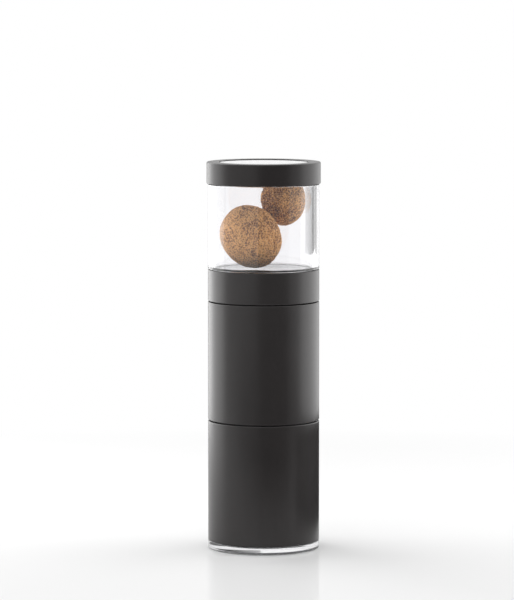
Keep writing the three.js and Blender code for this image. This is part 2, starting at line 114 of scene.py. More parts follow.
GUIDE_SCREWS = ("guide_screw_1", "guide_screw_2", "guide_screw_3")
SEAL_ROUNDING = 0.6  # rounding of a seal, as a share of half its height
RECESS_DEPTH = 0.6  # depth of a cross recess, as a share of the screw head's height
RECESS_REACH = 0.55  # length of its arms, as a share of the head's radius
WIRE_SIDES = 16
CLOSED_TURN = 2.1  # rise of the spring's closed turns, in wire radii

# Radii that several pieces share
BODY_RADIUS = reach("lower_casing")
LINER_RADIUS = reach("blade_housing")
CASING_BORE = LINER_RADIUS + SLIP_FIT
PLUG_RADIUS = reach("cutting_disc")
MOUTH_BORE = PLUG_RADIUS + SLIP_FIT
CHAMBER_RADIUS = reach("pusher_plate") + SLIP_FIT
TUBE_RADIUS = reach("chamber_tube") - BEARING_REACH
THREAD_RADIUS = TUBE_RADIUS - THREAD_STEP
HUB_BORE = THREAD_RADIUS + SLIP_FIT
SPIGOT_RADIUS = reach("hub_nut") + SEAT_GAP
POCKET_BORE = SPIGOT_RADIUS + SLIP_FIT
SPIGOT_BORE = THREAD_RADIUS + SLIP_FIT + SEAT_GAP
JAR_PLUG_RADIUS = reach("jar_gasket") - SEAL_PLAY
COLLAR_BORE = JAR_PLUG_RADIUS + SLIP_FIT
LID_PLUG_RADIUS = reach("lid_seal") - SEAL_PLAY
JAR_BORE = LID_PLUG_RADIUS + SLIP_FIT
WINDOW_SEAT = reach("lid_window") + SLIP_FIT


def length(name, description, millimetres):
    """A length property with its default given in millimetres."""
    return FloatProperty(
        name=name,
        description=description,
        default=millimetres * MM,
        min=0.0,
        precision=5,
        subtype="DISTANCE",
        unit="LENGTH",
    )


def tone(name, description, colour):
    """A colour property with its default in linear light."""
    return FloatVectorProperty(
        name=name, description=description, default=colour, min=0.0, max=1.0, size=3, subtype="COLOR"
    )


def whole_number(name, description, number, least, most):
    """A whole number property."""
    return IntProperty(name=name, description=description, default=number, min=least, max=most)


def angle_in_degrees(name, description, degrees):
    """An angle property with its default given in degrees."""
    return FloatProperty(
        name=name, description=description, default=math.radians(degrees), subtype="ANGLE", unit="ROTATION"
    )


def fraction(name, description, share):
    """A property between 0 and 1."""
    return FloatProperty(
        name=name, description=description, default=share, min=0.0, max=1.0, subtype="FACTOR"
    )


def span(name, description, metres):
    """A distance property of the stage, with its default given in metres."""
    return FloatProperty(
        name=name, description=description, default=metres, subtype="DISTANCE", unit="LENGTH"
    )


def brightness(name, description, strength):
    """A property for how bright a light or a surface is."""
    return FloatProperty(name=name, description=description, default=strength, min=0.0)


class GraterSizes(bpy.types.PropertyGroup):
    sides: whole_number("Sides", "Sides of each big round", 144, 24, 256)
    rounding_steps: whole_number("Rounding steps", "Steps in a rounded edge", 4, 1, 8)
    edge: length("Outer edge", "Rounding of the edges that a hand feels", 0.35)
    inner_edge: length("Inner edge", "Rounding of the edges inside", 0.15)
    inner_corner: length("Inner corner", "Fillet in moulded inner corners", 0.5)
    bevel: length("Small bevel", "Bevel on stamped and milled edges", 0.08)
    foot_inset: length("Foot inset", "Width of the ring that the base cover stands on", 3.5)
    foot_recess: length("Foot recess", "Height of the recess under the base cover", 0.6)
    cover_floor: length("Cover floor", "Thickness of the base cover's floor", 1.4)
    skirt_wall: length("Skirt wall", "Wall of the base cover's skirt", 1.5)
    funnel_edge: length("Funnel edge", "Wall of the funnel ring at its lower edge", 0.6)
    flange: length("Bearing flange", "Thickness of the chamber tube's bearing flange", 1.8)
    bearing_lip: length("Bearing lip", "Height of the lip that holds the bearing flange", 6.1)
    rib_width: length("Rib width", "Width of a rib in the chamber", 1.6)
    rib_height: length("Rib height", "Height of a rib in the chamber", 0.8)
    ribs: whole_number("Ribs", "Ribs in the chamber", 4, 0, 12)
    hub_floor: length("Hub floor", "Thickness of the floors in the hub", 2.2)
    notches: whole_number("Nut notches", "Notches in the ring nut", 6, 2, 12)
    notch_width: length("Notch width", "Width of a notch in the ring nut", 2.4)
    notch_depth: length("Notch depth", "Depth of a notch in the ring nut", 1.6)
    deck: length("Collar deck", "Thickness of the collar's deck", 2.5)
    thread_pitch: length("Thread pitch", "Pitch of the collar's thread", 2.0)
    thread_height: length("Thread height", "How far the collar's thread stands out", 0.22)
    jar_plug_wall: length("Jar plug wall", "Wall of the plug under the storage jar", 2.6)
    jar_floor: length("Jar floor", "Thickness of the jar's floor", 1.8)
    jar_floor_drop: length("Jar floor drop", "The floor's underside below the wall's lower edge", 1.5)
    jar_fillet: length("Jar fillet", "Fillet between the jar's wall and floor", 0.7)
    jar_neck: length("Jar neck", "Wall of the jar's neck", 1.0)
    lid_plug: length("Lid plug", "Length of the lid's inner plug", 3.0)
    lid_plug_wall: length("Lid plug wall", "Wall of the lid's inner plug", 1.3)
    lid_edge: length("Lid edge", "Rounding of the lid's upper edge", 0.5)


class CutterSizes(bpy.types.PropertyGroup):
    thickness: length("Disc thickness", "Thickness of the cutting disc", 0.8)
    slot_reach: length("Slot reach", "Half the slot's length", 12.6)
    narrow_slot: length("Narrow slot", "Half the slot's width on its plain side", 0.9)
    wide_slot: length("Wide slot", "Half the slot's width on the side of the lip", 1.5)
    teeth: whole_number("Teeth", "Teeth on the cutting lip", 6, 1, 20)
    tooth_depth: length("Tooth depth", "Height of a tooth", 0.9)
    lip_length: length("Lip length", "Length of the lip from its fold to its tips", 2.9)
    lip_thickness: length("Lip thickness", "Thickness of the lip", 0.6)
    lip_angle: angle_in_degrees("Lip angle", "Slope of the lip", 25)


class PusherSizes(bpy.types.PropertyGroup):
    plate: length("Plate thickness", "Thickness of the pusher plate", 2.5)
    boss_wall: length("Boss wall", "Wall of the boss round the stem", 2.2)
    stem: length("Stem radius", "Radius of the stem", 2.5)
    stem_head: length("Stem head height", "Height of the stem's head", 2.5)
    stem_spigot: length("Stem spigot", "Length of the stem's thin end", 3.0)
    spigot_radius: length("Spigot radius", "Radius of the stem's thin end", 1.8)
    guide_wall: length("Guide wall", "Wall of the spring guide", 1.5)
    guide_flange: length("Guide flange", "Thickness of the guide's flange", 1.5)
    screw_radius: length("Screw radius", "Radius of a guide screw's shank", 0.9)
    screw_head: length("Screw head", "Height of a guide screw's head", 1.2)
    claws: whole_number("Claws", "Claws under the pusher plate", 4, 2, 8)
    claw_radius: length("Claw radius", "Radius of a claw at its root", 1.2)
    claw_circle: length("Claw circle", "Radius of the circle that the claws stand on", 7.0)
    claw_plate: length("Claw plate", "Thickness of the claw plate", 0.8)
    claw_screw: length("Claw screw radius", "Radius of the claw screw's shank", 0.7)
    claw_screw_head: length("Claw screw head", "Height of the claw screw's head", 1.1)
    recess: length("Screw recess", "Width of the cross recess in a screw's head", 0.5)
    wire: length("Wire radius", "Radius of the spring's wire", 0.6)
    turns: whole_number("Turns", "Open turns of the pusher spring", 10, 2, 30)


class NutmegSizes(bpy.types.PropertyGroup):
    fineness: whole_number("Fineness", "Subdivisions of a nutmeg's surface", 7, 3, 7)
    front_lean: angle_in_degrees("Front lean", "How far the front nutmeg leans", 36.4)
    lump_depth: length("Lump depth", "How uneven a nutmeg is", 0.45)
    furrow_depth: length("Furrow depth", "Depth of the long furrows", 0.4)
    wrinkle_depth: length("Wrinkle depth", "Depth of the fine net of wrinkles", 0.18)
    furrow_spacing: length("Furrow spacing", "Distance between the long furrows", 2.6)
    wrinkle_spacing: length("Wrinkle spacing", "Distance between the fine wrinkles", 1.1)


class FinishLooks(bpy.types.PropertyGroup):
    black: tone("Casing black", "Satin black of the casings, collar and lid", (0.0165, 0.0135, 0.0135))
    inner_black: tone("Inner black", "Moulded black of the inner pieces", (0.012, 0.012, 0.0125))
    steel: tone("Steel", "Steel of the disc, screws, stem and spring", (0.33, 0.33, 0.325))
    shell: tone("Nutmeg shell", "Middle tone of a nutmeg", (0.51, 0.205, 0.05))
    shell_pale: tone("Pale ridges", "Tone of the ridges on a nutmeg", (0.84, 0.44, 0.16))
    # Tone where the furrows are deepest, which holds painted shade as well
    shell_dark: tone("Dark furrows", "Tone at the bottom of the furrows", (0.15, 0.045, 0.012))
    casing_roughness: fraction("Casing roughness", "Roughness of the satin black", 0.32)


class StageSettings(bpy.types.PropertyGroup):
    camera_distance: span("Camera distance", "Distance in front of the object", 1.4)
    camera_height: span("Camera height", "Height over the floor", 0.2273)
    camera_tilt: angle_in_degrees("Camera tilt", "How far it looks down", 5.44)
    camera_turn: angle_in_degrees("Camera turn", "How far it looks left", 0.102)
    lens: FloatProperty(
        name="Lens",
        description="Focal length in millimetres",
        default=223.85,
        subtype="DISTANCE_CAMERA",
        unit="CAMERA",
    )
    sky: brightness("Sky", "Plain light from all round", 0.6)
    left_light: brightness("Left light", "Level of the softboxes on the left", 1.75)
    right_light: brightness("Right light", "Level of the softboxes on the right", 1.35)
    top_light: brightness("Top light", "Level of the softbox overhead", 0.9)
    floor_glow: brightness("Floor glow", "Level of the floor's own white, where it takes no shadow", 1.0)
    floor_gloss: fraction("Floor gloss", "Share of the floor's reflection", 0.19)
    gloss_reach: FloatVectorProperty(
        name="Gloss reach",
        description="Distances over which the floor's reflection fades",
        default=(0.03, 0.28),
        size=2,
    )
    matt_reach: span("Matt reach", "How far from the object the floor is lit by the lamps alone", 0.06)
    glow_reach: span("Glow reach", "How far from the object the floor's own white takes over", 0.35)


class Nodes:
    """A node tree that nodes are added to, with their inputs set or linked."""

    def __init__(self, tree):
        self.tree = tree
        tree.nodes.clear()

    def add(self, kind, inputs=None, **settings):
        """A new node. An input's value is a plain value, or another node's output to link."""
        node = self.tree.nodes.new(kind)
        for name, value in settings.items():
            setattr(node, name, value)
        for name, value in (inputs or {}).items():
            if isinstance(value, bpy.types.NodeSocket):
                self.tree.links.new(value, node.inputs[name])
            else:
                node.inputs[name].default_value = value
        return node

    def spots(self, where, spacing, detail=2.0, roughness=0.5, distortion=0.0):
        """Noise with features about spacing apart."""
        inputs = {
            "Vector": where,
            "Scale": 1 / spacing,
            "Detail": detail,
            "Roughness": roughness,
            "Distortion": distortion,
        }
        return self.add("ShaderNodeTexNoise", inputs).outputs["Fac"]

    def between(self, value, low_value, high_value, start=0.3, end=0.7):
        """A value from start to end, spread over low_value to high_value."""
        inputs = {
            "Value": value,
            "From Min": start,
            "From Max": end,
            "To Min": low_value,
            "To Max": high_value,
        }
        return self.add("ShaderNodeMapRange", inputs).outputs["Result"]

    def ramp(self, value, stops):
        """Colours spread over a value, given as (place, colour) stops."""
        node = self.add("ShaderNodeValToRGB", {"Fac": value})
        elements = node.color_ramp.elements
        while len(elements) < len(stops):
            elements.new(1.0)
        for element, (place, colour) in zip(elements, stops):
            element.position = place
            element.color = (*colour, 1.0)
        return node.outputs["Color"]

    def shades(self, value, first, second, start=0.3, end=0.7):
        """Colours from first to second, spread over start to end of a value."""
        return self.ramp(value, [(start, first), (end, second)])

    def arithmetic(self, operation, first, second):
        """The result of one step of arithmetic."""
        return self.add("ShaderNodeMath", {0: first, 1: second}, operation=operation).outputs[0]

    def mixed(self, share, plain, other):
        """A mix of two shaders, with share of the other."""
        mix = self.add("ShaderNodeMixShader", {"Fac": share})
        self.tree.links.new(plain.outputs[0], mix.inputs[1])
        self.tree.links.new(other.outputs[0], mix.inputs[2])
        return mix

    def bump(self, height, depth, strength=1.0, under=None):
        """A normal for bumps of the given depth, on top of another normal if there is one."""
        inputs = {"Height": height, "Distance": depth, "Strength": strength}
        if under:
            inputs["Normal"] = under
        return self.add("ShaderNodeBump", inputs).outputs["Normal"]


def scaled(colour, share):
    """A colour made darker or paler."""
    return tuple(min(1.0, channel * share) for channel in colour)


def new_finish(name):
    """A new material, its Nodes, the object's own coordinates, and a function that shows a shader."""
    material = bpy.data.materials.new(name)
    material.use_nodes = True
    nodes = Nodes(material.node_tree)
    output = nodes.add("ShaderNodeOutputMaterial")
    where = nodes.add("ShaderNodeTexCoord").outputs["Object"]

    def show(shader):
        material.node_tree.links.new(shader.outputs[0], output.inputs["Surface"])

    return material, nodes, where, show


def satin_black(looks, name="fine_satin_black", shine=0.5):
    """Satin lacquer with a fine grain and slow clouds."""
    material, nodes, where, show = new_finish(name)
    clouds = nodes.spots(where, 14 * MM, detail=3)
    grain = nodes.spots(where, 0.22 * MM, detail=3, roughness=0.6)
    rough = looks.casing_roughness
    lacquer = {
        "Base Color": nodes.shades(clouds, scaled(looks.black, 0.88), scaled(looks.black, 1.12)),
        "Roughness": nodes.between(grain, rough - 0.04, rough + 0.04),
        "Normal": nodes.bump(grain, 0.012 * MM, 0.5),
        "Specular IOR Level": shine,
    }
    show(nodes.add("ShaderNodeBsdfPrincipled", lacquer))
    return material


def lid_black(looks):
    """The lacquer of the lid, which shines a little less."""
    return satin_black(looks, "fine_lid_black", shine=0.36)


def black_plastic(looks):
    """Moulded plastic, a little less even than the lacquer."""
    material, nodes, where, show = new_finish("fine_black_plastic")
    clouds = nodes.spots(where, 6 * MM, detail=4)
    grain = nodes.spots(where, 0.3 * MM, detail=2)
    moulded = {
        "Base Color": nodes.shades(clouds, scaled(looks.inner_black, 0.8), scaled(looks.inner_black, 1.25)),
        "Roughness": nodes.between(clouds, 0.36, 0.46),
        "Normal": nodes.bump(grain, 0.02 * MM, 0.4),
    }
    show(nodes.add("ShaderNodeBsdfPrincipled", moulded))
    return material


def clear_plastic(looks, name="fine_clear_plastic", coat=0.1):
    """Clear plastic that lets the lamps through to what is behind it."""
    material, nodes, where, show = new_finish(name)
    flow = nodes.spots(where, 9 * MM, detail=1)
    clear = {
        "Base Color": nodes.shades(flow, (0.968, 0.966, 0.98), (0.985, 0.982, 0.992)),
        "Roughness": nodes.between(flow, 0.0, 0.01),
        "Transmission Weight": 1.0,
        "IOR": 1.49,
        "Coat Weight": coat,
    }
    plastic = nodes.add("ShaderNodeBsdfPrincipled", clear)
    open_air = nodes.add("ShaderNodeBsdfTransparent", {"Color": (0.96, 0.965, 0.97, 1.0)})
    path = nodes.add("ShaderNodeLightPath").outputs
    lit_through = nodes.mixed(path["Is Diffuse Ray"], plastic, open_air)
    show(nodes.mixed(path["Is Shadow Ray"], lit_through, open_air))
    return material


def clear_window(looks):
    """The lid's window, which is polished and shows the sky."""
    return clear_plastic(looks, "fine_clear_window", coat=1.0)


def brushed_steel(looks):
    """Steel brushed along X."""
    material, nodes, where, show = new_finish("fine_steel")
    stretched = nodes.add("ShaderNodeMapping", {"Vector": where, "Scale": (0.03, 1.0, 1.0)}).outputs["Vector"]
    brushing = nodes.spots(stretched, 0.16 * MM, detail=4, roughness=0.65)
    clouds = nodes.spots(where, 5 * MM, detail=3)
    brushed = {
        "Base Color": nodes.shades(brushing, scaled(looks.steel, 0.9), looks.steel),
        "Roughness": nodes.between(clouds, 0.24, 0.34),
        "Normal": nodes.bump(brushing, 0.01 * MM, 0.5),
        "Metallic": 1.0,
    }
    show(nodes.add("ShaderNodeBsdfPrincipled", brushed))
    return material


def black_rubber(looks):
    """Dull rubber with a dusty bloom."""
    material, nodes, where, show = new_finish("fine_black_rubber")
    bloom = nodes.spots(where, 1.5 * MM, detail=5, roughness=0.7)
    dull = {
        "Base Color": nodes.shades(bloom, (0.008, 0.008, 0.008), (0.02, 0.02, 0.021), start=0.35),
        "Roughness": nodes.between(bloom, 0.7, 0.85),
        "Normal": nodes.bump(bloom, 0.02 * MM, 0.5),
    }
    show(nodes.add("ShaderNodeBsdfPrincipled", dull))
    return material


def clear_rubber(looks):
    """Milky silicone."""
    material, nodes, where, show = new_finish("fine_clear_rubber")
    milk = nodes.spots(where, 3 * MM, detail=3)
    milky = {
        "Base Color": nodes.shades(milk, (0.80, 0.80, 0.78), (0.88, 0.88, 0.87)),
        "Roughness": nodes.between(milk, 0.3, 0.42),
        "Normal": nodes.bump(milk, 0.01 * MM, 0.3),
        "Transmission Weight": 0.6,
        "IOR": 1.41,
    }
    show(nodes.add("ShaderNodeBsdfPrincipled", milky))
    return material


def nutmeg_shell(looks):
    """Dry shell: dark in the furrows, pale on the ridges, with specks of both. The darkening is partly the
    shell's own tone in its furrows and partly painted shade in them; the specks are partly its own speckle and
    partly painted highlights and painted shade on small bumps.
    """
    material, nodes, where, show = new_finish("fine_nutmeg")
    # Darkness of each point, from its relief: the shell's tone with painted shade in the creases
    furrow = nodes.add("ShaderNodeAttribute", attribute_name="furrow").outputs["Fac"]
    specks = nodes.spots(where, 0.5 * MM, detail=3, roughness=0.75, distortion=0.4)
    patches = nodes.spots(where, 5 * MM, detail=3)
    # Specks: the shell's own speckle with painted highlights and painted shade on small bumps; patches: its
    # uneven tone
    glint_specks_and_patches = nodes.arithmetic("ADD", nodes.between(specks, -1.7, 1.6), nodes.between(patches, -0.25, 0.25))
    stops = [
        (0.05, looks.shell_pale),
        (0.34, looks.shell),
        (0.78, scaled(looks.shell, 0.5)),
        (1.0, looks.shell_dark),
    ]
    shell = {
        "Base Color": nodes.ramp(nodes.arithmetic("ADD", furrow, glint_specks_and_patches), stops),
        "Roughness": nodes.between(specks, 0.5, 0.72),
        "Normal": nodes.bump(specks, 0.14 * MM, 0.8),
        "Specular IOR Level": 0.35,
    }
    show(nodes.add("ShaderNodeBsdfPrincipled", shell))
    return material


FINISHES = {
    "satin_black": satin_black,
    "lid_black": lid_black,
    "black_plastic": black_plastic,
    "clear_plastic": clear_plastic,
    "clear_window": clear_window,
    "steel": brushed_steel,
    "black_rubber": black_rubber,
    "clear_rubber": clear_rubber,
    "nutmeg": nutmeg_shell,
}


def finish(look):
    """The fine material for a look, made the first time it is asked for."""
    return bpy.data.materials.get("fine_" + look) or FINISHES[look](bpy.context.scene.finish_looks)


def new_object(name, bm):
    """A bmesh as an object in the scene."""
    mesh = bpy.data.meshes.new(name)
    bm.to_mesh(mesh)
    bm.free()
    made = bpy.data.objects.new(name, mesh)
    bpy.context.scene.collection.objects.link(made)
    return made


def add_piece(node, bm, slot, bevel=0.0, look=None):
    """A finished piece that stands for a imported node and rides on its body.

    It has its slot's look, or another one if that is given.
    """
    for face in bm.faces:
        face.smooth = True
    for edge in bm.edges:
        edge.smooth = edge.calc_face_angle(0) < SHARP
    piece = new_object("fine_" + node, bm)
    piece.data.materials.append(finish(look or slot))
    if bevel:
        rounding = piece.modifiers.new("Small bevel", "BEVEL")
        rounding.width = bevel
        rounding.segments = 2
        rounding.limit_method = "ANGLE"
        rounding.angle_limit = SHARP
    piece.modifiers.new("Flat faces", "WEIGHTED_NORMAL").keep_sharp = True
    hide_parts(node)
    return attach(piece, frame["nodes"][node]["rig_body"])


def spun(outline, sides=None):
    """A bmesh turned about Z from the (radius, height, rounding) corners of its section, in order."""
    sizes = bpy.context.scene.grater_sizes
    bm = bmesh.new()
    corners = [bm.verts.new((radius, 0, height)) for radius, height, rounding in outline]
    bm.faces.new(corners)
    for size in sorted({rounding for radius, height, rounding in outline if rounding}):
        chosen = [corner for corner, (radius, height, rounding) in zip(corners, outline) if rounding == size]
        bmesh.ops.bevel(
            bm,
            geom=chosen,
            offset=size,
            offset_type="OFFSET",
            segments=sizes.rounding_steps,
            profile=0.5,
            affect="VERTICES",
            material=-1,
        )
    bmesh.ops.delete(bm, geom=bm.faces[:], context="FACES_ONLY")
    on_axis = [edge for edge in bm.edges if all(vert.co.x < TOUCH for vert in edge.verts)]
    bmesh.ops.delete(bm, geom=on_axis, context="EDGES")
    bmesh.ops.spin(
        bm,
        geom=bm.verts[:] + bm.edges[:],
        cent=(0, 0, 0),
        axis=(0, 0, 1),
        angle=FULL_TURN,
        steps=sides or sizes.sides,
        use_merge=True,
    )
    bmesh.ops.remove_doubles(bm, verts=bm.verts, dist=TOUCH)
    bmesh.ops.recalc_face_normals(bm, faces=bm.faces)
    return bm


def ring(inner, outer, bottom, top, rounding):
    """A turned ring with all four edges rounded."""
    outline = [
        (inner, bottom, rounding),
        (outer, bottom, rounding),
        (outer, top, rounding),
        (inner, top, rounding),
    ]
    return spun(outline)


def node_ring(node, inner, rounding):
    """A ring from inner out to a node's radius, between its lowest and highest points."""
    return ring(inner, reach(node), low(node), high(node), rounding)


def seal(node):
    """The bmesh of a round seal, from its node's place."""
    half = (high(node) - low(node)) / 2
    return node_ring(node, reach(node) - SEAL_DEPTH, half * SEAL_ROUNDING)


def groove(node, rounding):
    """The outline of the groove for a seal, going up the outside of its plug."""
    outside = reach(node) - SEAL_PLAY
    bottom = low(node) - SEAL_PLAY
    top = high(node) + SEAL_PLAY
    return [
        (outside, bottom, rounding),
        (outside - SEAL_DEPTH, bottom, rounding),
        (outside - SEAL_DEPTH, top, rounding),
        (outside, top, rounding),
    ]


def block(depth, width, bottom, top, radius=0.0, angle=0.0):
    """A block whose middle is at a radius and an angle about Z."""
    bm = bmesh.new()
    turn = Matrix.Rotation(angle, 4, "Z")
    place = Matrix.Translation((radius, 0, (bottom + top) / 2))
    bmesh.ops.create_cube(bm, size=1, matrix=turn @ place @ Matrix.Diagonal((depth, width, top - bottom, 1)))
    return bm


def rod(radius, bottom, top, x=0.0, y=0.0, sides=32, tip=None):
    """A round bar along Z, or a cone if its tip has another radius."""
    bm = bmesh.new()
    place = Matrix.Translation((x, y, (bottom + top) / 2))
    bmesh.ops.create_cone(
        bm,
        cap_ends=True,
        segments=sides,
        radius1=radius,
        radius2=radius if tip is None else tip,
        depth=top - bottom,
        matrix=place,
    )
    return bm


def combined(bm, others, operation):
    """The bmesh with others cut out of it (DIFFERENCE) or joined to it (UNION)."""
    base = new_object("base", bm)
    tools = [new_object("tool", other) for other in others]
    for tool in tools:
        step = base.modifiers.new("Step", "BOOLEAN")
        step.operation = operation
        step.solver = "EXACT"
        step.object = tool
    result = bmesh.new()
    result.from_object(base, bpy.context.evaluated_depsgraph_get())
    for made in [base, *tools]:
        mesh = made.data
        bpy.data.objects.remove(made)
        bpy.data.meshes.remove(mesh)
    bmesh.ops.remove_doubles(result, verts=result.verts, dist=TOUCH)
    return result


def around(count, start=0.0):
    """Evenly spaced angles about Z."""
    return [start + FULL_TURN * k / count for k in range(count)]


def middle(node):
    """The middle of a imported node's box."""
    lowest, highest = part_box(node)
    return (lowest + highest) / 2


def disc_top():
    """Height of the cutting disc's upper face."""
    return low("cutting_disc") + bpy.context.scene.cutter_sizes.thickness


class GRATER_OT_base_cover(bpy.types.Operator):
    """Clear cover under the grater, with its seal"""

    bl_idname = "grater.base_cover"
    bl_label = "Base cover"

    def execute(self, context):
        s = context.scene.grater_sizes
        rim = low("lower_casing") - SEAT_GAP
        top = high("base_cover")
        foot = BODY_RADIUS - s.foot_inset
        floor_top = s.foot_recess + s.cover_floor
        bore = PLUG_RADIUS - s.skirt_wall
        outline = [
            (0, s.foot_recess, 0),
            (foot, s.foot_recess, s.inner_edge),
            (foot, 0, s.inner_edge),
            (BODY_RADIUS, 0, s.edge),
            (BODY_RADIUS, rim, s.inner_edge),
            (PLUG_RADIUS, rim, s.inner_edge),
            *groove("base_cover_seal", s.bevel),
            (PLUG_RADIUS, top, s.edge),
            (bore, top, s.edge),
            (bore, floor_top, s.inner_corner),
            (0, floor_top, 0),
        ]
        add_piece("base_cover", spun(outline), "clear_plastic")
        add_piece("base_cover_seal", seal("base_cover_seal"), "clear_rubber")
        return {"FINISHED"}


class GRATER_OT_casings(bpy.types.Operator):
    """The two black casing tubes"""

    bl_idname = "grater.casings"
    bl_label = "Casings"

    def execute(self, context):
        s = context.scene.grater_sizes
        for node in ("lower_casing", "upper_casing"):
            bottom, top = low(node), high(node)
            outline = [
                (CASING_BORE, bottom, s.inner_edge),
                (BODY_RADIUS, bottom, s.edge),
                (BODY_RADIUS, top, s.edge),
                (CASING_BORE, top, s.inner_edge),
            ]
            add_piece(node, spun(outline), "satin_black")
        return {"FINISHED"}


class GRATER_OT_blade_housing(bpy.types.Operator):
    """Housing with the outlet mouth, the funnel ring under the disc and the washer at the turning seam"""

    bl_idname = "grater.blade_housing"
    bl_label = "Blade housing"

    def execute(self, context):
        s = context.scene.grater_sizes
        mouth, top = low("blade_housing"), high("blade_housing")
        bearing = reach("chamber_tube") + SLIP_FIT
        lip_bore = TUBE_RADIUS + SLIP_FIT
        shoulder = disc_top() + SEAT_GAP
        lip_bottom = top - s.bearing_lip
        outline = [
            (MOUTH_BORE, mouth, s.edge),
            (LINER_RADIUS, mouth, s.inner_edge),
            (LINER_RADIUS, top, s.inner_edge),
            (lip_bore, top, s.edge),
            (lip_bore, lip_bottom, s.inner_edge),
            (bearing, lip_bottom, s.inner_edge),
            (bearing, shoulder, s.inner_edge),
            (MOUTH_BORE, shoulder, s.inner_edge),
        ]
        add_piece("blade_housing", spun(outline), "black_plastic")
        funnel, funnel_top = low("funnel_ring"), high("funnel_ring")
        outline = [
            (PLUG_RADIUS - s.funnel_edge, funnel, s.inner_edge),
            (PLUG_RADIUS, funnel, s.inner_edge),
            (PLUG_RADIUS, funnel_top, s.inner_edge),
            (CHAMBER_RADIUS, funnel_top, s.inner_edge),
        ]
        add_piece("funnel_ring", spun(outline), "black_plastic")
        washer = node_ring("thrust_washer", lip_bore + SLIP_FIT, s.inner_edge)
        add_piece("thrust_washer", washer, "black_plastic")
        return {"FINISHED"}


class GRATER_OT_cutting_disc(bpy.types.Operator):
    """Steel disc with its stepped slot and toothed lip"""

    bl_idname = "grater.cutting_disc"
    bl_label = "Cutting disc"

    def execute(self, context):
        s = context.scene.grater_sizes
        c = context.scene.cutter_sizes
        bottom, top = low("cutting_disc"), disc_top()
        past = 1 * MM
        slots = [
            block(c.slot_reach, 2 * c.narrow_slot, bottom - past, top + past, -c.slot_reach / 2),
            block(c.slot_reach + TOUCH, 2 * c.wide_slot, bottom - past, top + past, c.slot_reach / 2),
        ]
        disc = combined(rod(PLUG_RADIUS, bottom, top, sides=s.sides), slots, "DIFFERENCE")
        lip = bmesh.new()
        width = c.slot_reach - 2 * SLIP_FIT
        pitch = width / c.teeth
        points = [(SLIP_FIT, 0), (SLIP_FIT + width, 0)]
        for k in reversed(range(c.teeth)):
            tooth_end = SLIP_FIT + (k + 1) * pitch
            points += [(tooth_end, c.lip_length - c.tooth_depth), (tooth_end - pitch, c.lip_length)]
        face = lip.faces.new([lip.verts.new((x, y, 0)) for x, y in points])
        raised = bmesh.ops.extrude_face_region(lip, geom=[face])["geom"]
        raised = [part for part in raised if isinstance(part, bmesh.types.BMVert)]
        bmesh.ops.translate(lip, verts=raised, vec=(0, 0, c.lip_thickness))
        bmesh.ops.recalc_face_normals(lip, faces=lip.faces)
        bmesh.ops.translate(lip, verts=lip.verts, vec=(0, -c.lip_thickness / 2, 0))
        bmesh.ops.rotate(lip, verts=lip.verts, cent=(0, 0, 0), matrix=Matrix.Rotation(c.lip_angle, 3, "X"))
        bmesh.ops.translate(lip, verts=lip.verts, vec=(0, -c.wide_slot, top - c.lip_thickness))
        add_piece("cutting_disc", combined(disc, [lip], "UNION"), "steel", bevel=s.bevel)
        return {"FINISHED"}


class GRATER_OT_grip(bpy.types.Operator):
    """Ribbed chamber tube, the hub round it and the ring nut"""

    bl_idname = "grater.grip"
    bl_label = "Grip"

    def execute(self, context):
        s = context.scene.grater_sizes
        bottom, top = low("chamber_tube"), high("chamber_tube")
        flange_top = high("blade_housing") - s.bearing_lip - SLIP_FIT
        hub_bottom, hub_top = low("grip_hub"), high("grip_hub")
        shoulder = hub_bottom - SEAT_GAP
        outline = [
            (CHAMBER_RADIUS, bottom, s.inner_edge),
            (TUBE_RADIUS, bottom, s.inner_edge),
            (TUBE_RADIUS, flange_top - s.flange, s.inner_edge),
            (reach("chamber_tube"), flange_top - s.flange, s.inner_edge),
            (reach("chamber_tube"), flange_top, s.inner_edge),
            (TUBE_RADIUS, flange_top, s.inner_edge),
            (TUBE_RADIUS, shoulder, s.inner_edge),
            (THREAD_RADIUS, shoulder, s.bevel),
            (THREAD_RADIUS, top, s.inner_edge),
            (CHAMBER_RADIUS, top, s.inner_edge),
        ]
        rib_depth = 2 * s.rib_height
        ribs = [
            block(rib_depth, s.rib_width, bottom, top, CHAMBER_RADIUS - s.rib_height + rib_depth / 2, angle)
            for angle in around(s.ribs, math.pi / s.ribs)
        ]
        add_piece("chamber_tube", combined(spun(outline), ribs, "UNION"), "black_plastic")
        pocket = low("hub_nut") - SEAT_GAP
        outline = [
            (HUB_BORE, hub_bottom, s.inner_edge),
            (LINER_RADIUS, hub_bottom, s.inner_edge),
            (LINER_RADIUS, hub_top, s.inner_edge),
            (POCKET_BORE, hub_top, s.edge),
            (POCKET_BORE, pocket, s.inner_edge),
            (HUB_BORE, pocket, s.inner_edge),
            (HUB_BORE, pocket - s.hub_floor, s.inner_edge),
            (POCKET_BORE, pocket - s.hub_floor, s.inner_corner),
            (POCKET_BORE, hub_bottom + s.hub_floor, s.inner_corner),
            (HUB_BORE, hub_bottom + s.hub_floor, s.inner_edge),
        ]
        add_piece("grip_hub", spun(outline), "black_plastic")
        nut_radius, nut_top = reach("hub_nut"), high("hub_nut")
        nut = node_ring("hub_nut", HUB_BORE, s.inner_edge)
        notch_bottom, notch_top = nut_top - s.notch_depth, nut_top + SLIP_FIT
        notches = [
            block(nut_radius - HUB_BORE, s.notch_width, notch_bottom, notch_top, nut_radius, angle)
            for angle in around(s.notches)
        ]
        add_piece("hub_nut", combined(nut, notches, "DIFFERENCE"), "black_plastic", bevel=s.bevel)
        return {"FINISHED"}


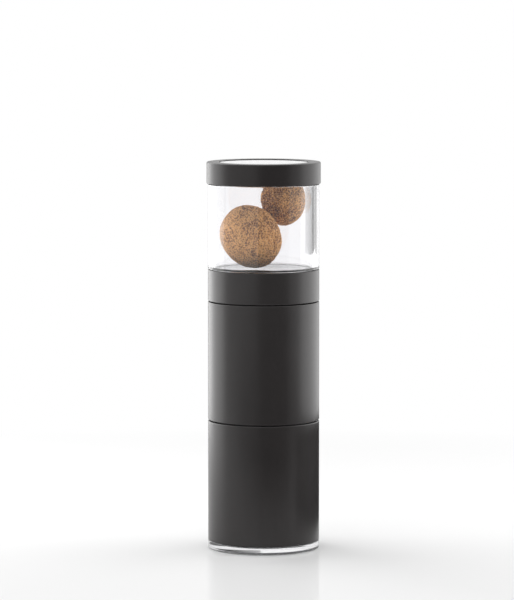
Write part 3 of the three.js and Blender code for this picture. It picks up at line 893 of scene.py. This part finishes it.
def thread_ridge(radius, bottom, top, pitch, height):
    """A ridge that winds up the outside of a spigot."""
    sizes = bpy.context.scene.grater_sizes
    bm = bmesh.new()
    half = pitch / 4
    section = [(radius - height, -half), (radius + height, 0), (radius - height, half)]
    points = [bm.verts.new((x, 0, bottom + half + z)) for x, z in section]
    edges = [bm.edges.new((points[k], points[k - 1])) for k in range(len(points))]
    turns = (top - bottom - 2 * half) / pitch
    steps = round(turns * sizes.sides)
    bmesh.ops.spin(
        bm,
        geom=points + edges,
        cent=(0, 0, 0),
        axis=(0, 0, 1),
        dvec=(0, 0, pitch * turns / steps),
        angle=FULL_TURN * turns,
        steps=steps,
    )
    bmesh.ops.holes_fill(bm, edges=bm.edges, sides=len(section))
    bmesh.ops.recalc_face_normals(bm, faces=bm.faces)
    return bm


def with_extra(bm, extra):
    """A bmesh with another one's faces added to it as they are."""
    mesh = bpy.data.meshes.new("extra")
    extra.to_mesh(mesh)
    extra.free()
    bm.from_mesh(mesh)
    bpy.data.meshes.remove(mesh)
    return bm


def screw_holes(top):
    """Blind holes for the guide screws, up to a height."""
    p = bpy.context.scene.pusher_sizes
    bottom = low(GUIDE_SCREWS[0])
    spots = [middle(node) for node in GUIDE_SCREWS]
    return [rod(p.screw_radius + SLIP_FIT, bottom, top, spot.x, spot.y) for spot in spots]


class GRATER_OT_collar(bpy.types.Operator):
    """Collar that carries the jar, with its thread and gasket"""

    bl_idname = "grater.collar"
    bl_label = "Collar"

    def execute(self, context):
        s = context.scene.grater_sizes
        bottom, top = low("jar_collar"), high("jar_collar")
        seam = high("collar_gasket") + SEAT_GAP
        deck_top = seam + s.deck
        outline = [
            (0, seam, 0),
            (SPIGOT_BORE, seam, s.inner_corner),
            (SPIGOT_BORE, bottom, s.inner_edge),
            (SPIGOT_RADIUS, bottom, s.inner_edge),
            (SPIGOT_RADIUS, seam, s.bevel),
            (BODY_RADIUS, seam, s.edge),
            (BODY_RADIUS, top, s.edge),
            (COLLAR_BORE, top, s.inner_edge),
            (COLLAR_BORE, deck_top, s.inner_edge),
            (0, deck_top, 0),
        ]
        collar = combined(spun(outline), screw_holes(high(GUIDE_SCREWS[0]) + SEAT_GAP), "DIFFERENCE")
        ridge_top = low("collar_gasket") - s.thread_pitch / 2
        ridge = thread_ridge(SPIGOT_RADIUS, bottom + s.edge, ridge_top, s.thread_pitch, s.thread_height)
        add_piece("jar_collar", with_extra(collar, ridge), "satin_black")
        gasket = node_ring("collar_gasket", SPIGOT_RADIUS + SEAT_GAP, s.inner_edge)
        add_piece("collar_gasket", gasket, "black_rubber")
        return {"FINISHED"}


def cross_recess(head_bottom, head, head_radius, x, y):
    """Two crossed blocks that cut the recess for a screwdriver into the underside of a screw's head."""
    width = bpy.context.scene.pusher_sizes.recess
    depth = RECESS_DEPTH * head
    arms = 2 * RECESS_REACH * head_radius
    made = []
    for angle in (0.0, math.pi / 2):
        bm = block(arms, width, head_bottom - depth, head_bottom + depth, 0.0, angle)
        bmesh.ops.translate(bm, verts=bm.verts, vec=(x, y, 0))
        made.append(bm)
    return made


def add_screw(node, shank, head):
    """A screw with its head at its lower end and a cross recess in it."""
    s = bpy.context.scene.grater_sizes
    lowest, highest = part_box(node)
    spot = middle(node)
    head_radius = highest.x - spot.x
    head_top = lowest.z + head
    outline = [
        (0, lowest.z, 0),
        (head_radius, lowest.z, s.edge),
        (head_radius, head_top, s.bevel),
        (shank, head_top, s.bevel),
        (shank, highest.z, s.inner_edge),
        (0, highest.z, 0),
    ]
    screw = spun(outline, s.sides // 3)
    bmesh.ops.translate(screw, verts=screw.verts, vec=(spot.x, spot.y, 0))
    recess = cross_recess(lowest.z, head, head_radius, spot.x, spot.y)
    add_piece(node, combined(screw, recess, "DIFFERENCE"), "steel")


class GRATER_OT_spring_guide(bpy.types.Operator):
    """Guide under the collar for the pusher's stem, with its three screws"""

    bl_idname = "grater.spring_guide"
    bl_label = "Spring guide"

    def execute(self, context):
        s = context.scene.grater_sizes
        p = context.scene.pusher_sizes
        bottom, top = low("spring_guide"), high("spring_guide")
        flange_bottom = top - p.guide_flange
        stem_bore = p.stem + SLIP_FIT
        bore = reach("pusher_stem") + SLIP_FIT
        outside = bore + p.guide_wall
        outline = [
            (stem_bore, bottom, s.inner_edge),
            (outside, bottom, s.edge),
            (outside, flange_bottom, s.inner_corner),
            (reach("spring_guide"), flange_bottom, s.edge),
            (reach("spring_guide"), top, s.inner_edge),
            (bore, top, s.inner_edge),
            (bore, bottom + p.guide_wall, s.inner_edge),
            (stem_bore, bottom + p.guide_wall, s.inner_edge),
        ]
        holes = screw_holes(top + SEAT_GAP)
        add_piece("spring_guide", combined(spun(outline), holes, "DIFFERENCE"), "black_plastic")
        for node in GUIDE_SCREWS:
            add_screw(node, p.screw_radius, p.screw_head)
        return {"FINISHED"}


class GRATER_OT_pusher(bpy.types.Operator):
    """Pusher plate on its stem, with the claw plate and its screw"""

    bl_idname = "grater.pusher"
    bl_label = "Pusher"

    def execute(self, context):
        s = context.scene.grater_sizes
        p = context.scene.pusher_sizes
        self.add_plate(s, p)
        self.add_stem(s, p)
        self.add_claws(s, p)
        return {"FINISHED"}

    def add_plate(self, s, p):
        bottom, top = low("pusher_plate"), high("pusher_plate")
        plate_top = bottom + p.plate
        stem_bore = p.stem + SLIP_FIT
        spigot_bore = p.spigot_radius + SLIP_FIT
        counterbore = bottom + p.stem_spigot - SEAT_GAP
        outline = [
            (spigot_bore, bottom, s.bevel),
            (reach("pusher_plate"), bottom, s.edge),
            (reach("pusher_plate"), plate_top, s.edge),
            (stem_bore + p.boss_wall, plate_top, s.inner_corner),
            (stem_bore + p.boss_wall, top, s.edge),
            (stem_bore, top, s.inner_edge),
            (stem_bore, counterbore, s.bevel),
            (spigot_bore, counterbore, s.bevel),
        ]
        depth = 2 * s.rib_height
        radius = CHAMBER_RADIUS - s.rib_height - SLIP_FIT + depth / 2
        keyways = [
            block(depth, s.rib_width + 2 * SLIP_FIT, bottom - SEAT_GAP, plate_top + SEAT_GAP, radius, angle)
            for angle in around(s.ribs, math.pi / s.ribs)
        ]
        add_piece("pusher_plate", combined(spun(outline), keyways, "DIFFERENCE"), "black_plastic")

    def add_stem(self, s, p):
        bottom, top = low("pusher_stem"), high("pusher_stem")
        shoulder = low("pusher_plate") + p.stem_spigot
        hole = p.claw_screw + SLIP_FIT
        hole_top = high("claw_screw") + 2 * SEAT_GAP
        outline = [
            (0, hole_top, 0),
            (hole, hole_top, 0),
            (hole, bottom, 0),
            (p.spigot_radius, bottom, s.inner_edge),
            (p.spigot_radius, shoulder, s.bevel),
            (p.stem, shoulder, s.inner_edge),
            (p.stem, top - p.stem_head, s.bevel),
            (reach("pusher_stem"), top - p.stem_head, s.inner_edge),
            (reach("pusher_stem"), top, s.edge),
            (0, top, 0),
        ]
        add_piece("pusher_stem", spun(outline, s.sides // 2), "steel")

    def add_claws(self, s, p):
        tip, top = low("claw_plate"), high("claw_plate")
        bottom = top - p.claw_plate
        hole = p.claw_screw + 2 * SLIP_FIT
        plate = ring(hole, reach("claw_plate"), bottom, top, s.inner_edge)
        claws = []
        for angle in around(p.claws):
            claw = rod(TOUCH, tip, bottom + p.claw_plate / 2, p.claw_circle, 0.0, sides=4, tip=p.claw_radius)
            bmesh.ops.rotate(claw, verts=claw.verts, cent=(0, 0, 0), matrix=Matrix.Rotation(angle, 3, "Z"))
            claws.append(claw)
        add_piece("claw_plate", combined(plate, claws, "UNION"), "steel")
        add_screw("claw_screw", p.claw_screw, p.claw_screw_head)


class GRATER_OT_pusher_spring(bpy.types.Operator):
    """Coil spring over the guide, with closed end turns"""

    bl_idname = "grater.pusher_spring"
    bl_label = "Pusher spring"

    def execute(self, context):
        s = context.scene.grater_sizes
        p = context.scene.pusher_sizes
        bottom, top = low("pusher_spring"), high("pusher_spring")
        radius = reach("pusher_spring") - p.wire
        bm = bmesh.new()
        stand = Matrix.Translation((radius, 0, bottom + p.wire)) @ Matrix.Rotation(math.pi / 2, 4, "X")
        end = bmesh.ops.create_circle(bm, segments=WIRE_SIDES, radius=p.wire, matrix=stand)["verts"]
        end = end + list({edge for vert in end for edge in vert.link_edges})
        closed_rise = CLOSED_TURN * p.wire
        open_rise = top - bottom - 2 * p.wire - 2 * closed_rise
        for turns, rise in ((1, closed_rise), (p.turns, open_rise), (1, closed_rise)):
            steps = turns * s.sides // 3
            end = bmesh.ops.spin(
                bm,
                geom=end,
                cent=(0, 0, 0),
                axis=(0, 0, 1),
                dvec=(0, 0, rise / steps),
                angle=FULL_TURN * turns,
                steps=steps,
            )["geom_last"]
        bmesh.ops.holes_fill(bm, edges=bm.edges, sides=WIRE_SIDES)
        bmesh.ops.recalc_face_normals(bm, faces=bm.faces)
        spring = add_piece("pusher_spring", bm, "steel")
        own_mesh(spring)
        return {"FINISHED"}


class GRATER_OT_jar(bpy.types.Operator):
    """Clear storage jar with its gasket"""

    bl_idname = "grater.jar"
    bl_label = "Jar"

    def execute(self, context):
        s = context.scene.grater_sizes
        plug_bottom = low("storage_jar")
        seat = high("jar_collar") + SEAT_GAP
        shoulder = low("lid_ring") - SEAT_GAP
        neck_top = high("storage_jar")
        floor_bottom = seat - s.jar_floor_drop
        floor_top = floor_bottom + s.jar_floor
        neck = JAR_BORE + s.jar_neck
        plug_bore = JAR_PLUG_RADIUS - s.jar_plug_wall
        outline = [
            (0, floor_bottom, 0),
            (plug_bore, floor_bottom, s.inner_corner),
            (plug_bore, plug_bottom, s.inner_edge),
            (JAR_PLUG_RADIUS, plug_bottom, s.inner_edge),
            *groove("jar_gasket", s.bevel),
            (JAR_PLUG_RADIUS, seat, s.bevel),
            (BODY_RADIUS, seat, s.edge),
            (BODY_RADIUS, shoulder, s.edge),
            (neck, shoulder, s.inner_edge),
            (neck, neck_top, s.inner_edge),
            (JAR_BORE, neck_top, s.inner_edge),
            (JAR_BORE, floor_top, s.jar_fillet),
            (0, floor_top, 0),
        ]
        add_piece("storage_jar", spun(outline, s.sides * 3 // 2), "clear_plastic")
        add_piece("jar_gasket", seal("jar_gasket"), "black_rubber")
        return {"FINISHED"}


class GRATER_OT_lid(bpy.types.Operator):
    """Black lid ring with its clear window and seal"""

    bl_idname = "grater.lid"
    bl_label = "Lid"

    def execute(self, context):
        s = context.scene.grater_sizes
        bottom, top = low("lid_ring"), high("lid_ring")
        skirt_bore = JAR_BORE + s.jar_neck + SLIP_FIT
        underside = high("storage_jar") + SEAT_GAP
        plug_bottom = underside - s.lid_plug
        ledge_bore = WINDOW_SEAT - WINDOW_LEDGE - SLIP_FIT
        ledge_top = low("lid_window") - SEAT_GAP
        plug_bore = LID_PLUG_RADIUS - s.lid_plug_wall
        outline = [
            (skirt_bore, bottom, s.inner_edge),
            (reach("lid_ring"), bottom, s.edge),
            (reach("lid_ring"), top, s.lid_edge),
            (WINDOW_SEAT, top, s.inner_edge),
            (WINDOW_SEAT, ledge_top, s.bevel),
            (ledge_bore, ledge_top, s.bevel),
            (ledge_bore, underside, s.inner_edge),
            (plug_bore, underside, s.inner_edge),
            (plug_bore, plug_bottom, s.inner_edge),
            (LID_PLUG_RADIUS, plug_bottom, s.inner_edge),
            *groove("lid_seal", s.bevel),
            (LID_PLUG_RADIUS, underside, s.inner_edge),
            (skirt_bore, underside, s.inner_edge),
        ]
        add_piece("lid_ring", spun(outline), "satin_black", look="lid_black")
        add_piece("lid_seal", seal("lid_seal"), "clear_rubber")
        window_bottom, window_top = low("lid_window"), high("lid_window")
        outline = [
            (0, window_bottom, 0),
            (reach("lid_window"), window_bottom, s.inner_edge),
            (reach("lid_window"), window_top, s.inner_edge),
            (0, window_top, 0),
        ]
        add_piece("lid_window", spun(outline), "clear_plastic", look="clear_window")
        return {"FINISHED"}


NOISE_SEED = 1  # fixes the offsets of vector noise, which otherwise come from the clock

# How a nutmeg's relief and tone, with painted shade in its creases, are laid over a ball of radius 1
LUMP_SCALE = 1.7
PATCH_SCALE = 2  # uneven edge of the patch where the furrows are deep
PATCH_UNEVENNESS = 2.5
PATCH_SHARPNESS = 3
PATCH_START = 0.3  # how far towards the rough side it starts
WANDER_SCALE = 2.5
WANDER = 0.25  # how far the lines wander from side to side
NET_WANDER = 0.6
FURROW_SQUEEZE = 0.3  # the smaller, the longer the furrows run along the axis
NET_SQUEEZE = 0.5
FURROW_WIDTH = 0.2
WRINKLE_WIDTH = 0.22
FINER_WIDTH = 0.35
FINER_SCALE = 1.7  # finer wrinkles in the space of one wrinkle
STREAK_SCALE = 0.9
PIT_START = 0.93  # place of the end's pit along the axis
PIT_LENGTH = 0.07
TONE_START = 0.06
STREAK_TONE = 0.8
# Darkening in the furrows, wrinkles and the end's pit: their own tone with painted shade
FURROW_TONE_AND_SHADE = 0.3
WRINKLE_TONE_AND_SHADE = 0.28
FINER_TONE_AND_SHADE = 0.36
PIT_TONE_AND_SHADE = 0.5


def crease(place, width):
    """1 on the lines where smooth noise changes sign, falling to 0 at width from them."""
    return max(0.0, 1.0 - abs(noise.noise(place)) / width)


def half_lengths(half_box, lean):
    """Half the size of an egg shape along its own axes, from half its box when it leans."""
    upright, sideways = math.cos(lean) ** 2, math.sin(lean) ** 2
    across = math.sqrt((half_box.x**2 * upright - half_box.z**2 * sideways) / (upright - sideways))
    tall = math.sqrt((half_box.z**2 * upright - half_box.x**2 * sideways) / (upright - sideways))
    return Vector((across, half_box.y, tall))


class GRATER_OT_nutmegs(bpy.types.Operator):
    """The two whole nutmegs kept in the jar"""

    bl_idname = "grater.nutmegs"
    bl_label = "Nutmegs"

    def execute(self, context):
        noise.seed_set(NOISE_SEED)
        # The back nutmeg's rough side, on its left, gets painted shade; the front one's, on its right, a little
        # painted light
        self.add_nutmeg(
            "stored_nutmeg_front",
            axis=Vector((0.1, 0.45, 1)),
            seed=Vector((3.1, 7.7, 1.3)),
            rough_side=Vector((0.75, -0.6, 0.1)),
            lean=context.scene.nutmeg_sizes.front_lean,
            darker=-0.1,
        )
        self.add_nutmeg(
            "stored_nutmeg_back",
            axis=Vector((0.7, 0.5, 0.4)),
            seed=Vector((11.4, 2.9, 5.2)),
            rough_side=Vector((-0.8, -0.5, -0.3)),
            darker=0.5,
        )
        return {"FINISHED"}

    def add_nutmeg(self, node, axis, seed, rough_side, lean=0.0, darker=0.0):
        """A nutmeg whose furrows run from end to end of its axis, deeper on its rough side.

        It leans to the left, and its rough side gets painted shade, or painted light where that is below zero.
        """
        lowest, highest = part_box(node)
        half_box = (highest - lowest) / 2
        half = half_lengths(half_box, lean)
        size = sum(half) / 3
        to_axis = axis.to_track_quat("Z", "Y").to_matrix().inverted()
        bm = bmesh.new()
        fineness = bpy.context.scene.nutmeg_sizes.fineness
        bmesh.ops.create_icosphere(bm, subdivisions=fineness, radius=1)
        # Darkness of each point: the shell's tone with painted shade in its creases
        layer = bm.verts.layers.float.new("furrow")
        for vert in bm.verts:
            out = vert.co.normalized()
            depth, shade, deep = self.relief(out, to_axis @ out, seed, rough_side, size)
            # Painted shade over the rough side, or painted light where it is below zero
            vert[layer] = min(1.0, max(0.0, shade + darker * deep))
            vert.co = Vector((out.x * half.x, out.y * half.y, out.z * half.z)) * (1 - depth / size)
        bmesh.ops.rotate(bm, cent=(0, 0, 0), matrix=Matrix.Rotation(-lean, 3, "Y"), verts=bm.verts)
        widest = [max(abs(vert.co[k]) for vert in bm.verts) for k in range(3)]
        stretch = [half_box[k] / widest[k] for k in range(3)]
        bmesh.ops.scale(bm, vec=stretch, verts=bm.verts)
        bmesh.ops.translate(bm, vec=(lowest + highest) / 2, verts=bm.verts)
        add_piece(node, bm, "nutmeg")

    def relief(self, out, along, seed, rough_side, size):
        """Depth and darkness at a point of the ball, and how far it is in the patch of deep furrows. The
        darkness is the creases' tone together with painted shade in them.
        """
        n = bpy.context.scene.nutmeg_sizes
        lumps = noise.noise(out * LUMP_SCALE + seed)
        uneven = PATCH_UNEVENNESS * noise.noise(out * PATCH_SCALE + 2 * seed)
        deep = 0.5 + 0.5 * math.tanh(PATCH_SHARPNESS * (out @ rough_side - PATCH_START) + uneven)
        wander = noise.noise_vector(out * WANDER_SCALE + seed) * WANDER
        stretched = Vector((along.x, along.y, along.z * FURROW_SQUEEZE)) + wander
        net = Vector((along.x, along.y, along.z * NET_SQUEEZE)) + wander * NET_WANDER
        furrow = deep * crease(stretched * (size / n.furrow_spacing) + seed, FURROW_WIDTH)
        wrinkle = crease(net * (size / n.wrinkle_spacing) + seed, WRINKLE_WIDTH)
        finer = crease(net * (FINER_SCALE * size / n.wrinkle_spacing) + seed, FINER_WIDTH)
        streak = deep * noise.noise(stretched * (STREAK_SCALE * size / n.furrow_spacing) - seed)
        pit = max(0.0, (along.z - PIT_START) / PIT_LENGTH)
        depth = (
            n.lump_depth * (0.5 - 0.5 * lumps)
            + n.furrow_depth * furrow
            + n.wrinkle_depth * (wrinkle + 0.5 * finer)
            + 2 * n.furrow_depth * pit * pit
        )
        # Darker where the furrows, wrinkles and pit are deep: their tone with painted shade
        shade = (
            TONE_START
            + STREAK_TONE * streak
            + FURROW_TONE_AND_SHADE * furrow
            + WRINKLE_TONE_AND_SHADE * wrinkle
            + FINER_TONE_AND_SHADE * finer
            + PIT_TONE_AND_SHADE * pit
        )
        return depth, shade, deep


WHITE = (1, 1, 1, 1)
FLOOR_REACH = 20  # metres from its middle to its edges
ON_THE_FLOOR = 0.5 * MM  # height of a card that lies on the floor
RAYS = ("camera", "diffuse", "glossy", "transmission", "shadow", "volume_scatter")


def round_the_object(bearing, distance, height):
    """A place by its bearing in degrees from the camera's side, positive to the right, and its height."""
    turn = math.radians(bearing)
    return Vector((distance * math.sin(turn), -distance * math.cos(turn), height))


class GRATER_OT_stage(bpy.types.Operator):
    """Camera, white floor and background, and soft lights"""

    bl_idname = "grater.stage"
    bl_label = "Stage"

    def execute(self, context):
        settings = context.scene.stage_settings
        scene = context.scene
        scene.view_settings.view_transform = "Standard"
        self.add_camera(scene, settings)
        self.add_world(scene, settings)
        self.add_lights(settings, self.add_floor(settings))
        self.add_cards()
        return {"FINISHED"}

    def add_camera(self, scene, settings):
        camera = bpy.data.objects.new("camera", bpy.data.cameras.new("camera"))
        scene.collection.objects.link(camera)
        camera.data.lens = settings.lens
        camera.location = (0, -settings.camera_distance, settings.camera_height)
        camera.rotation_euler = (math.pi / 2 - settings.camera_tilt, 0, settings.camera_turn)
        scene.camera = camera

    def seen_directly(self, nodes):
        """1 for rays that show the background: from the camera, in a reflection or through glass."""
        path = nodes.add("ShaderNodeLightPath").outputs
        mirrored = nodes.arithmetic("MAXIMUM", path["Is Camera Ray"], path["Is Glossy Ray"])
        return nodes.arithmetic("MAXIMUM", mirrored, path["Is Transmission Ray"])

    def add_world(self, scene, settings):
        world = bpy.data.worlds.new("white_room")
        world.use_nodes = True
        scene.world = world
        nodes = Nodes(world.node_tree)
        light = nodes.add("ShaderNodeBackground", {"Color": WHITE, "Strength": settings.sky})
        white = nodes.add("ShaderNodeBackground", {"Color": WHITE, "Strength": 1.0})
        shown = nodes.mixed(self.seen_directly(nodes), light, white)
        nodes.add("ShaderNodeOutputWorld", {"Surface": shown.outputs[0]})

    def add_floor(self, settings):
        """A floor that is matt near the object and white far from it, and clear from below."""
        material, nodes, where, show = new_finish("floor_white")
        matt = nodes.add("ShaderNodeBsdfDiffuse", {"Color": (0.84, 0.84, 0.84, 1)})
        glow = nodes.add("ShaderNodeEmission", {"Color": WHITE, "Strength": settings.floor_glow})
        gloss = nodes.add("ShaderNodeBsdfGlossy", {"Color": WHITE, "Roughness": 0.05})
        distance = nodes.add("ShaderNodeVectorMath", {0: where}, operation="LENGTH").outputs["Value"]
        glowing = nodes.between(distance, 0.0, 1.0, settings.matt_reach, settings.glow_reach)
        pale = nodes.mixed(glowing, matt, glow)
        mirrored = nodes.between(distance, settings.floor_gloss, 0.0, *settings.gloss_reach)
        polished = nodes.mixed(mirrored, pale, gloss)
        from_above = nodes.mixed(self.seen_directly(nodes), matt, polished)
        from_below = nodes.add("ShaderNodeBsdfTransparent")
        underside = nodes.add("ShaderNodeNewGeometry").outputs["Backfacing"]
        show(nodes.mixed(underside, from_above, from_below))
        bm = bmesh.new()
        bmesh.ops.create_grid(bm, x_segments=1, y_segments=1, size=FLOOR_REACH)
        floor = new_object("floor", bm)
        floor.data.materials.append(material)
        return floor

    def add_lights(self, settings, floor):
        """Softboxes on both sides and overhead."""
        self.receivers = {state: self.floor_in_a_collection(floor, state) for state in ("INCLUDE", "EXCLUDE")}
        left, right = settings.left_light, settings.right_light
        self.add_lamp("left_softbox", bearing=-110, distance=0.3, width=0.25, level=left)
        self.add_lamp("left_rear_softbox", bearing=-142, distance=0.35, width=0.16, level=1.3 * left)
        self.add_lamp("right_softbox", bearing=104, distance=0.3, width=0.27, level=right)
        self.add_lamp("right_rear_softbox", bearing=140, distance=0.35, width=0.16, level=0.7 * right)
        self.add_lamp(
            "top_softbox",
            bearing=-60,
            distance=0.25,
            width=0.6,
            level=settings.top_light,
            height=0.8,
            aim_height=0.07,
        )

    def floor_in_a_collection(self, floor, state):
        """A collection that makes a lamp light the floor alone (INCLUDE) or all but the floor (EXCLUDE)."""
        receivers = bpy.data.collections.new("floor_" + state.lower())
        receivers.objects.link(floor)
        receivers.collection_objects[0].light_linking.link_state = state
        return receivers

    def add_lamp(self, name, bearing, distance, width, level, height=0.3, tall=0.6, aim_height=None):
        """A softbox, upright unless it is aimed at a height, which the camera and the glass look past.

        The floor is lit by a twin of it, which it doesn't mirror.
        """
        for state in ("EXCLUDE", "INCLUDE"):
            lamp = bpy.data.lights.new(name, "AREA")
            lamp.shape = "RECTANGLE"
            lamp.size = width
            lamp.size_y = tall
            lamp.energy = level * width * tall * math.pi
            light = bpy.data.objects.new(name, lamp)
            bpy.context.scene.collection.objects.link(light)
            light.location = round_the_object(bearing, distance, height)
            aim = Vector((0, 0, aim_height or height))
            light.rotation_euler = (light.location - aim).to_track_quat("Z", "Y").to_euler()
            light.visible_camera = False
            light.visible_transmission = False
            light.visible_glossy = state == "EXCLUDE"
            light.light_linking.receiver_collection = self.receivers[state]

    def add_cards(self):
        """Dark cards: a grey flag in front, and cards seen only in reflections or through the clear plastic,
        which paint dark reflections and shade: one on the floor in front, low ones that the foot shows, and two
        seen through the jar's wall.
        """
        mirror, through = ("glossy",), ("transmission",)
        gently_down = (0, 0.3)
        self.add_card(
            "front_card",
            bearing=21,
            distance=0.45,
            height=0.3,
            width=0.56,
            tall=0.62,
            seen_by=("diffuse", "glossy", "shadow"),
            level=0.28,
            slopes=(-0.2, 1.0),
        )
        # Seen only in reflections: a painted dark reflection on the lower casing's front
        self.add_card(
            "floor_card",
            bearing=10,
            distance=0.33,
            height=ON_THE_FLOOR,
            width=0.7,
            tall=0.4,
            seen_by=mirror,
            level=0.0,
            slopes=gently_down,
            lying=True,
        )
        # Seen only in reflections: a painted dark reflection on the lower casing's right side and the foot
        self.add_card(
            "low_card",
            bearing=112,
            distance=0.06,
            height=0.022,
            width=0.14,
            tall=0.044,
            seen_by=mirror,
            level=0.02,
            slopes=gently_down,
        )
        # Seen only through the clear plastic: painted shade behind the foot
        self.add_card(
            "low_rear_card",
            bearing=150,
            distance=0.12,
            height=0.02,
            width=0.13,
            tall=0.04,
            seen_by=through,
            level=0.5,
            right=0.05,
            fade=0.35,
            slopes=(-0.3, 0.3),
        )
        # Lies on the floor, seen only through the clear plastic: a painted shadow on the floor behind the foot
        self.add_card(
            "rear_floor_card",
            bearing=150,
            distance=0.075,
            height=ON_THE_FLOOR,
            width=0.13,
            tall=0.106,
            seen_by=through,
            level=0.3,
            right=0.05,
            fade=0.35,
            slopes=gently_down,
            lying=True,
        )
        # Seen only through the clear plastic: painted shade in what the jar's wall shows
        far = {"distance": 1.32, "height": 0.5, "tall": 1.0, "seen_by": through}
        self.add_card("side_card", bearing=128, width=0.97, level=0.4, right=0.03, fade=0.4, **far)
        self.add_card("rear_card", bearing=158, width=0.48, level=0.75, right=0.12, **far)

    def add_card(
        self,
        name,
        bearing,
        distance,
        height,
        width,
        tall,
        seen_by,
        level,
        right=None,
        fade=1,
        slopes=None,
        lying=False,
    ):
        """A card that faces the object and is seen by some kinds of ray alone.

        With a level for its right side too, its level changes over the share of its width given as fade.
        With slopes, only rays that go down by more than the first and by less than the second see it.
        """
        material, nodes, where, show = new_finish(name)
        if right is not None:
            half = width / 2 * abs(math.cos(math.radians(bearing)))
            middle_x = distance * math.sin(math.radians(bearing))
            across = nodes.add("ShaderNodeSeparateXYZ", {"Vector": where}).outputs["X"]
            level = nodes.between(across, level, right, middle_x - half, middle_x + (2 * fade - 1) * half)
        surface = nodes.add("ShaderNodeEmission", {"Strength": level})
        if slopes:
            incoming = nodes.add("ShaderNodeNewGeometry").outputs["Incoming"]
            slope = nodes.add("ShaderNodeSeparateXYZ", {"Vector": incoming}).outputs["Z"]
            steeper = nodes.arithmetic("GREATER_THAN", slope, slopes[0])
            shallower = nodes.arithmetic("LESS_THAN", slope, slopes[1])
            seen = nodes.arithmetic("MULTIPLY", steeper, shallower)
            surface = nodes.mixed(seen, nodes.add("ShaderNodeBsdfTransparent"), surface)
        show(surface)
        place = round_the_object(bearing, distance, height)
        facing = Vector((place.x, place.y, 0)).to_track_quat("Z", "Y").to_matrix().to_4x4()
        tilt = Matrix.Rotation(math.pi / 2 if lying else 0, 4, "X")
        stand = Matrix.Translation(place) @ facing @ tilt @ Matrix.Diagonal((width, tall, 1, 1))
        bm = bmesh.new()
        bmesh.ops.create_grid(bm, x_segments=1, y_segments=1, size=0.5, matrix=stand)
        card = new_object(name, bm)
        card.data.materials.append(material)
        for ray in RAYS:
            setattr(card, "visible_" + ray, ray in seen_by)


class GRATER_PT_panel(bpy.types.Panel):
    """Lists the operators in the order that they are run"""

    bl_idname = "GRATER_PT_panel"
    bl_label = "Nutmeg Grater"
    bl_space_type = "VIEW_3D"
    bl_region_type = "UI"
    bl_category = "Grater"

    def draw(self, context):
        for operator in OPERATORS:
            self.layout.operator(operator.bl_idname)


OPERATORS = (
    GRATER_OT_base_cover,
    GRATER_OT_casings,
    GRATER_OT_blade_housing,
    GRATER_OT_cutting_disc,
    GRATER_OT_grip,
    GRATER_OT_collar,
    GRATER_OT_spring_guide,
    GRATER_OT_pusher,
    GRATER_OT_pusher_spring,
    GRATER_OT_jar,
    GRATER_OT_lid,
    GRATER_OT_nutmegs,
    GRATER_OT_stage,
)
SETTINGS = {
    "grater_sizes": GraterSizes,
    "cutter_sizes": CutterSizes,
    "pusher_sizes": PusherSizes,
    "nutmeg_sizes": NutmegSizes,
    "finish_looks": FinishLooks,
    "stage_settings": StageSettings,
}


def register():
    for made in (*SETTINGS.values(), *OPERATORS, GRATER_PT_panel):
        bpy.utils.register_class(made)
    for name, group in SETTINGS.items():
        setattr(bpy.types.Scene, name, PointerProperty(type=group))


def unregister():
    for name in SETTINGS:
        delattr(bpy.types.Scene, name)
    for made in (GRATER_PT_panel, *reversed(OPERATORS), *SETTINGS.values()):
        bpy.utils.unregister_class(made)


def main():
    register()
    for operator in OPERATORS:
        name = operator.bl_idname.split(".")[1]
        getattr(bpy.ops.grater, name)()


if __name__ == "__main__":
    main()
